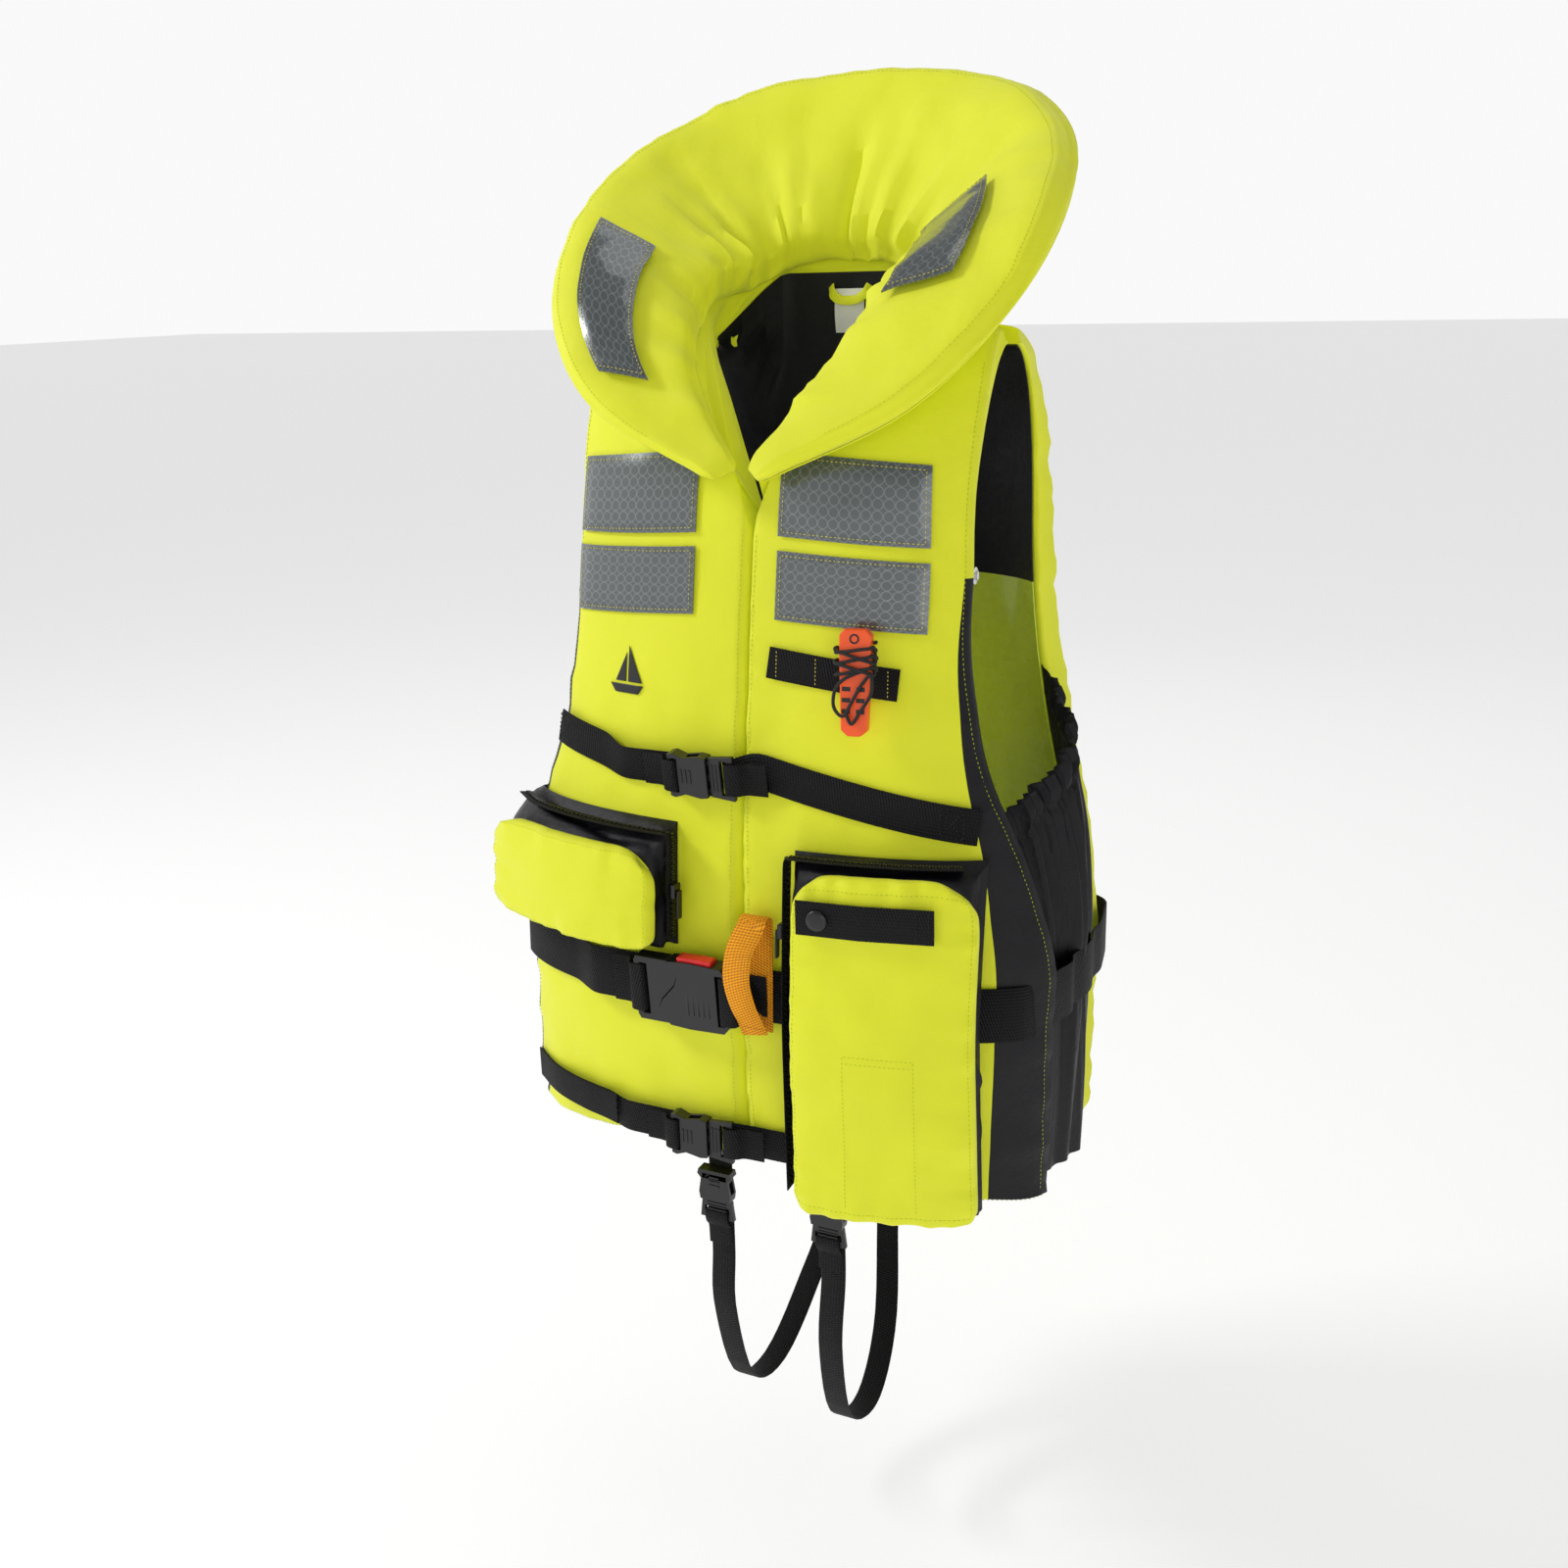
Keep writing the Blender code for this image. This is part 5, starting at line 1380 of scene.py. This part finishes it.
def build_becket():
    """Soft webbing loop for lifting, with its sewn foot."""
    x, z = BECKET_AT
    foot = front_outer(x, z, LIFT + 0.006)
    normal = front_normal(x, z)
    rise = unit(front_outer(x, z + BECKET_LENGTH, LIFT + 0.006) - foot)
    radius = BECKET_RADIUS
    route = [foot + rise * t * (BECKET_LENGTH - radius) for t in (0.0, 0.25, 0.5, 0.75, 1.0)]
    top = route[-1]
    for angle in range(20, 180, 20):
        a = math.radians(angle)
        route.append(top + rise * radius * math.sin(a) + normal * radius * (1 - math.cos(a)))
    for t, out in ((0.8, 2.7), (0.55, 3.0), (0.3, 2.4), (0.12, 1.6), (0.0, 1.15)):
        route.append(foot + rise * t * (BECKET_LENGTH - radius) + normal * radius * out
                     - np.array([0.0045, 0.0, 0.0]) * (out - 1.15))
    obj = strap("becket_loop", through(route, 90), (1, 0, 0), BECKET_WEB, ORANGE_WEB, 0.0017, 0.002)
    place_piece(obj, "becket", "orange_webbing", "lifting_becket")
    runs = []
    outer = foot + normal * radius * 1.15
    for level in (0.006, 0.011):
        height = outer + rise * level + normal * (0.0018 + level * 0.12)
        side = np.array([0.0085, 0.0, 0.0])
        runs.append(([height - side, height + side], [normal, normal]))
    stitches("becket_bar_tacks", runs, BLACK_THREAD, "becket", "orange_webbing", 0.0011, 0.0007)


def build_whistle():
    run, ways = front_run((0.019, -0.210), (0.104, -0.221))
    obj = strap("whistle_webbing", run, ways, 0.022, WEB)
    place_piece(obj, "vest", "black_webbing", "whistle_keeper")
    runs = []
    for index in (2, 11, 20, 26):
        up = unit(ways[index])
        along = unit(run[index + 1] - run[index])
        normal = facing_out(unit(np.cross(up, along)))
        middle = run[index] + normal * (WEBBING / 2 + 0.0002)
        runs.append(([middle - up * 0.0095, middle + up * 0.0095], [normal, normal]))
    stitches("keeper_stitches", runs, LIGHT_THREAD, "vest", "black_webbing", 0.0026, 0.0004)
    refined("whistle_body", "whistle", 0.0014, ORANGE, "whistle", "orange_plastic", 4)

    x, top, length, width, thick = 0.082, -0.182, 0.072, 0.022, 0.009
    normal = front_normal(x, top - length / 2)
    along = unit(np.cross(-normal, (0, 0, 1)))
    rise = np.cross(along, -normal)
    middle = box_centre("whistle")
    bars("whistle_ports",
         [middle + along * aside + rise * (-0.004 - 0.0075 * k) + normal * (thick / 2 + 0.0001)
          for aside in (-0.0050, 0.0050) for k in range(3)],
         (normal, along, rise), (0.0007, 0.0058, 0.0030), "whistle", "orange_plastic")
    eye = turned("whistle_eye",
                 middle + rise * (length / 2 - 0.0065) + normal * (thick / 2 - 0.0002), normal,
                 ((0.0034, 0.0), (0.0034, 0.0006), (0.0022, 0.0006), (0.0021, 0.0003)),
                 20, BLACK, 40)
    place_piece(eye, "whistle", "orange_plastic")

    points = []
    w, t = width / 2 + 0.0022, thick / 2 + 0.0022
    for turn, (height, lean) in enumerate(((0.0245, 0.003), (0.0205, -0.004), (0.018, 0.004),
                                           (0.0125, -0.0035), (0.0105, 0.004))):
        for k in range(16):
            a = 2 * math.pi * k / 16
            cx, cy = math.cos(a), math.sin(a)
            reach = (abs(cx) ** 4 + abs(cy) ** 4) ** -0.25
            jut = 0.0006 * (turn % 2)
            points.append(middle + along * (w + jut) * reach * cx - normal * (t + jut) * reach * cy
                          + rise * (height + lean * cx - 0.0035 * k / 16))
    front = [(-0.004, 0.004), (-0.0115, -0.004), (-0.0125, -0.016), (-0.006, -0.022),
             (0.000, -0.012), (0.006, -0.001), (0.0125, 0.006), (0.013, -0.006), (0.006, -0.018),
             (0.0, -0.027), (-0.004, -0.020)]
    for a, b in front:
        points.append(middle + along * a + rise * b + normal * (t + 0.0012))
    cord = cord_curve("whistle_cord", through(points, 420), 0.0012, CORD)
    place_piece(cord, "whistle", "black_cord", "whistle_lanyard")


def cord_curve(name, points, radius, mat):
    curve = bpy.data.curves.new(name, "CURVE")
    curve.dimensions = "3D"
    curve.bevel_depth = radius
    curve.bevel_resolution = 3
    curve.use_fill_caps = True
    spline = curve.splines.new("POLY")
    spline.points.add(len(points) - 1)
    for target, point in zip(spline.points, points):
        target.co = (*point, 1.0)
    curve.materials.append(mat)
    return linked(name, curve)


# Chest patches: tag, side, x of the inner and of the outer edge.
CHEST_TAPE = (("r", -1, 0.040, 0.1335), ("l", 1, 0.022, 0.118))
TAPE_LENGTH, TAPE_WIDTH = 0.1, 0.05
COLLAR_TAPE_SPAN = (0.112, 0.40)


def tape_piece(name, node, surface):
    """One reflective patch over a surface; returns the runs of its seam."""
    def layers(u, v):
        point, normal = surface(u, v)
        edge = min(u, 1 - u, (1 - v) * 0.5, v * 0.5)
        swell = 0.0009 * smoothstep(0.0, 0.08, edge) * (1 + 0.8 * ripple(*point, 24.0))
        return (point + normal * (LIFT + 0.0012 + swell), point + normal * (LIFT + 0.0002),
                (u * TAPE_LENGTH, v * TAPE_WIDTH))

    obj = sheet(name, even(24), even(12), TAPE, layers)
    place_piece(obj, "vest", "reflective_tape", node)
    runs = []
    inset = 0.030
    tall = inset * TAPE_LENGTH / TAPE_WIDTH
    ring = [(inset, tall), (1 - inset, tall), (1 - inset, 1 - tall), (inset, 1 - tall),
            (inset, tall)]
    for (u0, v0), (u1, v1) in zip(ring, ring[1:]):
        spots = [surface(u0 + (u1 - u0) * t, v0 + (v1 - v0) * t) for t in np.linspace(0, 1, 14)]
        runs.append(([point + normal * (LIFT + 0.0020) for point, normal in spots],
                     [normal for _, normal in spots]))
    return runs


def build_tapes():
    runs = []
    for tag, side, inner, outer in CHEST_TAPE:
        for level, middle in TAPE_HEIGHTS:
            def on_chest(u, v):
                share = u if side > 0 else 1 - u
                x = side * (inner + (outer - inner) * share)
                z = middle - 0.006 * share + TAPE_WIDTH * (v - 0.5)
                return front_outer(x, z), front_normal(x, z)
            runs += tape_piece("chest_reflector_" + level + "_" + tag,
                               "chest_tape_" + level + "_" + tag, on_chest)
    collar = collar_panel()
    for tag, (around, rise_at) in COLLAR_TAPES.items():
        def on_collar(u, v):
            share = around + COLLAR_TAPE_SPAN[0] * (u - 0.5)
            rise = rise_at + COLLAR_TAPE_SPAN[1] * (v - 0.5)
            spot, normal = collar.place(share, rise), collar.normal(share, rise)
            height = collar.height(share, rise) + collar_relief(share, rise, spot)
            return spot + normal * (height + 0.0035), normal
        runs += tape_piece("collar_reflector_" + tag, "collar_tape_" + tag, on_collar)
    stitches("reflector_stitches", runs, LIGHT_THREAD, "vest", "reflective_tape", 0.0032, 0.00034)


def build_stud():
    obj = turned("armhole_press_stud", box_centre("armhole_stud") - (0.0015, 0, 0), (1, 0, 0),
                 ((0.0058, 0.0), (0.0060, 0.0004), (0.0060, 0.0012), (0.0054, 0.0016),
                  (0.0034, 0.0016), (0.0030, 0.0012), (0.0026, 0.0026), (0.0028, 0.0030),
                  (0.0022, 0.0033), (0.0006, 0.0034)), 28, STEEL, 35)
    place_piece(obj, "vest", "steel", "armhole_stud")


# Thigh straps: tag, front x, back x, lowest z, x of the lowest point.
THIGHS = (("r", -0.034, -0.028, -0.846, -0.042), ("l", 0.060, 0.018, -0.860, 0.046))
TAB_LENGTH = 0.020
THIGH_Y = -0.118


def build_thigh(tag, front_x, back_x, low, low_x):
    hang = HEM_Z - 0.006
    top_z = hang - TAB_LENGTH
    tilt = Matrix.Rotation(math.radians(90), 4, "Y")
    place = Matrix.Translation((front_x, THIGH_Y, top_z - 0.021)) @ tilt
    body = "thigh_" + tag
    leg_y = THIGH_Y + 0.0018
    tab = [(front_x, THIGH_Y + 0.002, hang), (front_x, leg_y, top_z + 0.002),
           (front_x, leg_y, top_z - 0.008)]
    piece = strap("thigh_tab_webbing_" + tag, tab, (1, 0, 0), THIGH_WEB, WEB, step=0.003)
    place_piece(piece, body, "black_webbing", "thigh_tab_" + tag)
    release_buckle("thigh_buckle_" + tag, place, THIGH_WEB, body, "thigh_tongue_" + tag, 0.85)
    start = top_z - 0.026
    route = [
        (front_x, leg_y, start), (front_x, leg_y, start - 0.045),
        (front_x + (low_x - front_x) * 0.4, -0.112, low + 0.110),
        (low_x, -0.075, low + 0.022), (low_x, -0.020, low),
        (low_x + (back_x - low_x) * 0.3, 0.040, low + 0.035),
        (back_x, 0.095, low + 0.110), (back_x, 0.108, SIDE_HEM_Z - 0.006),
    ]
    path = through(route, 34)
    belt = strap("thigh_webbing_" + tag, path, (1, 0, 0), THIGH_WEB, WEB, step=0.005)
    place_piece(belt, body, "black_webbing", "thigh_strap_" + tag)
    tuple(route[0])


MARK_AT = (-0.090, -0.226)


def build_emblem():
    """A generic mark of a small sailing boat, printed on the wearer's right chest."""
    shapes = (
        ((-0.0135, -0.010), (0.0135, -0.010), (0.0095, -0.0165), (-0.0095, -0.0165)),
        ((0.0010, -0.0080), (0.0010, 0.0180), (0.0125, -0.0080)),
        ((-0.0010, -0.0080), (-0.0010, 0.0130), (-0.0095, -0.0080)),
    )
    per_edge, rings = 5, 4
    verts, faces = [], []
    for shape in shapes:
        middle = np.mean(shape, axis=0)
        for ring in range(rings):
            first = len(verts)
            count = len(shape) * per_edge
            for k in range(count):
                edge, t = divmod(k, per_edge)
                a, b = np.array(shape[edge]), np.array(shape[(edge + 1) % len(shape)])
                dot = a + (b - a) * t / per_edge
                dot = middle + (dot - middle) * (1 - ring / rings)
                x, z = MARK_AT[0] + dot[0], MARK_AT[1] + dot[1]
                spot = front_outer(x, z)
                lift = front_relief(0, 0, front_base(x, z)) + 0.0007
                verts.append(spot + front_normal(x, z) * lift)
            if ring:
                for k in range(count):
                    j = (k + 1) % count
                    faces.append((first - count + k, first - count + j, first + j, first + k))
        verts.append(sum(verts[first:first + count]) / count)
        for k in range(count):
            faces.append((first + k, first + (k + 1) % count, len(verts) - 1))
    obj = mesh_piece("chest_mark", verts, faces, PRINT, sharp=0)
    mod = obj.modifiers.new("thickness", "SOLIDIFY")
    mod.thickness = 0.0003
    place_piece(obj, "vest", "hi_vis_fabric")


def neckline_points(count):
    """The top edge of the panels from the V (0) to the middle of the back (1)."""
    line = [front_base(x, min(neckline_z(x), -0.0004)) for x in np.linspace(0.001, 0.085, 30)]
    line += [back_base(x, NECK_BACK_Z * (1.0 - neck_share(x))) for x in
             np.linspace(0.085, 0.0, 30)]
    legs = np.linalg.norm(np.diff(np.array(line), axis=0), axis=1)
    run = np.concatenate([[0.0], np.cumsum(legs)]) / legs.sum()
    return list(read_along(np.linspace(0, 1, count), run, line))


def build_neck_band():
    """Gathered cloth that joins the collar's lower edge to the neckline."""
    half = 60
    columns = 2 * half
    edge = neckline_points(half + 1)
    lower = edge + [p * (-1, 1, 1) for p in edge[-2::-1]]
    upper = []
    for k in range(columns + 1):
        share = 1 - k / half
        base = smooth_curve(COLLAR_BASE, abs(share))
        upper.append(base * (1.0 if share > 0 else -1.0, 1, 1))

    def layers(k, t):
        point = lower[k] * (1 - t) + upper[k] * t
        away = unit(point * (1, 1, 0))
        fold = 0.0022 * waver(k * 0.42, t * 1.5, 0.0) * math.sin(math.pi * t)
        fold *= min(1.0, k / 10, (columns - k) / 10)
        return point + away * (fold + 0.0010), point + away * (fold - 0.0004), \
            (k * 0.004, t * 0.03)

    obj = sheet("neck_band", range(columns + 1), even(10), HI_VIS, layers)
    place_piece(obj, "vest", "hi_vis_fabric")


def build_neck_trim():
    """Hanging loop and a blank label inside the back of the neck."""
    y = back_base(0.0, NECK_BACK_Z)[1] - 0.003
    route = [(0.016, y, 0.040), (0.013, y - 0.004, 0.034), (0.006, y - 0.006, 0.030),
             (-0.006, y - 0.006, 0.030), (-0.013, y - 0.004, 0.034), (-0.016, y, 0.040)]
    wide, tall = 0.024, 0.032
    loop = strap("hanging_loop", through(route, 40), (0, 0.35, 1), 0.007, HI_VIS, 0.0012, 0.002)
    place_piece(loop, "vest", "hi_vis_fabric")

    def layers(u, v):
        point = np.array([wide * (u - 0.5), y - 0.0015 - 0.002 * math.sin(math.pi * v),
                          0.006 + tall * v])
        point[1] -= 0.0012 * math.sin(math.pi * u)
        return point, point + np.array([0.0, 0.0005, 0.0]), (u * wide, v * tall)

    label = sheet("size_label", even(12), even(10), LABEL, layers)
    place_piece(label, "vest", "coated_lining")


def build_panel_stitches():
    for side, tag in ((1, "l"), (-1, "r")):
        panel = front_panel(side)
        runs = relieved(panel, front_relief, [((0.03, 0.012), (0.97, 0.012))], 0.0003, 60)
        runs += relieved(panel, front_relief, [((u, 0.02), (u, 0.97))
                                               for u in (0.035, 0.965)[::side]], 0.0003, 140)
        stitches("front_stitches_" + tag, runs, YELLOW_THREAD, "vest", "hi_vis_fabric")
    back = back_panel()
    runs = relieved(back, back_relief, [((0.03, 0.012), (0.97, 0.012)),
                                        ((0.03, 0.02), (0.03, 0.97)),
                                        ((0.97, 0.02), (0.97, 0.97))], 0.0003, 140)
    stitches("back_stitches", runs, YELLOW_THREAD, "vest", "hi_vis_fabric")


build_flap()
build_becket()
build_whistle()
build_tapes()
build_stud()
for thigh in THIGHS:
    build_thigh(*thigh)
build_emblem()
build_neck_band()
build_neck_trim()
build_panel_stitches()

for node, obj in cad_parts.items():
    if not obj.hide_render:
        obj.data.materials.clear()
        obj.data.materials.append(FOAM_MAT)


# ---- stage, lights and camera -------------------------------------------------------------
FLOOR_REACH, FLOOR_DROP = 30.0, 0.10


def build_stage():
    mesh = bpy.data.meshes.new("floor")
    reach, level = FLOOR_REACH, CAD_BOX[0][2] - FLOOR_DROP
    mesh.from_pydata([(-reach, -reach, level), (reach, -reach, level), (reach, reach, level),
                      (-reach, reach, level)], [], [(0, 1, 2, 3)])
    floor = linked("floor", mesh)
    finish = Finish("floor_paper", (0.62, 0.62, 0.62), 0.9,
                    Emission_Color=(1.0, 1.0, 1.0, 1.0), Emission_Strength=0.55)
    mesh.materials.append(finish.mat)


# Lights: name, place, size in metres, power in watts. All point at the middle of the part.
LIGHTS = (
    ("key", (-2.4, -1.1, 1.7), (0.7, 0.7), 50.0),
    ("fill", (1.6, -2.4, 0.3), (1.2, 1.6), 7.0),
    ("top", (0.2, 0.4, 2.4), (2.0, 2.0), 12.0),
    ("back", (-0.6, 2.6, 1.0), (2.0, 1.6), 5.0),
)
MIDDLE = (0.0, 0.0, -0.3)


def area_light(name, place, size, power):
    data = bpy.data.lights.new(name, "AREA")
    data.shape = "RECTANGLE"
    data.size, data.size_y = size
    data.energy = power
    obj = linked(name, data)
    away = Vector(place) - Vector(MIDDLE)
    obj.rotation_euler = away.to_track_quat("Z", "Y").to_euler()
    obj.location = place


def build_lights():
    for light in LIGHTS:
        area_light(*light)
    world = bpy.data.worlds.new("studio")
    world.use_nodes = True
    background = world.node_tree.nodes["Background"]
    background.inputs["Color"].default_value = (1.0, 1.0, 1.0, 1.0)
    nodes, links = world.node_tree.nodes, world.node_tree.links
    space = nodes.new("ShaderNodeTexCoord")
    split = nodes.new("ShaderNodeSeparateXYZ")
    ramp = nodes.new("ShaderNodeMapRange")
    ramp.interpolation_type = "SMOOTHSTEP"
    ramp.inputs["From Min"].default_value = 0.16
    ramp.inputs["From Max"].default_value = 0.55
    ramp.inputs["To Min"].default_value = 0.95
    ramp.inputs["To Max"].default_value = 0.22
    links.new(space.outputs["Generated"], split.inputs[0])
    links.new(split.outputs["Z"], ramp.inputs["Value"])
    links.new(ramp.outputs["Result"], background.inputs["Strength"])
    bpy.context.scene.world = world
    bpy.context.scene.view_settings.view_transform = "Standard"


# The photograph's view: azimuth, elevation and roll in degrees, and the point looked at.
VIEW_ANGLES = (26.0, 17.0, 1.5)
VIEW_TARGET = (-0.018, -0.020, -0.325)
VIEW_DISTANCE = 1.28


def build_camera():
    azimuth, elevation, roll = (math.radians(a) for a in VIEW_ANGLES)
    target = np.array(VIEW_TARGET)
    back = np.array([math.sin(azimuth) * math.cos(elevation),
                     -math.cos(azimuth) * math.cos(elevation), math.sin(elevation)])
    right = np.array([math.cos(azimuth), math.sin(azimuth), 0.0])
    up = np.cross(back, right)
    turned_right = right * math.cos(roll) - up * math.sin(roll)
    turned_up = up * math.cos(roll) + right * math.sin(roll)
    data = bpy.data.cameras.new("camera")
    data.lens = 38.25
    data.sensor_width = 36.0
    obj = linked("camera", data)
    place = target + back * VIEW_DISTANCE
    rows = np.stack([turned_right, turned_up, back, place], axis=1)
    obj.matrix_world = Matrix([list(row) for row in rows] + [[0, 0, 0, 1]])
    bpy.context.scene.camera = obj


build_stage()
build_lights()
build_camera()
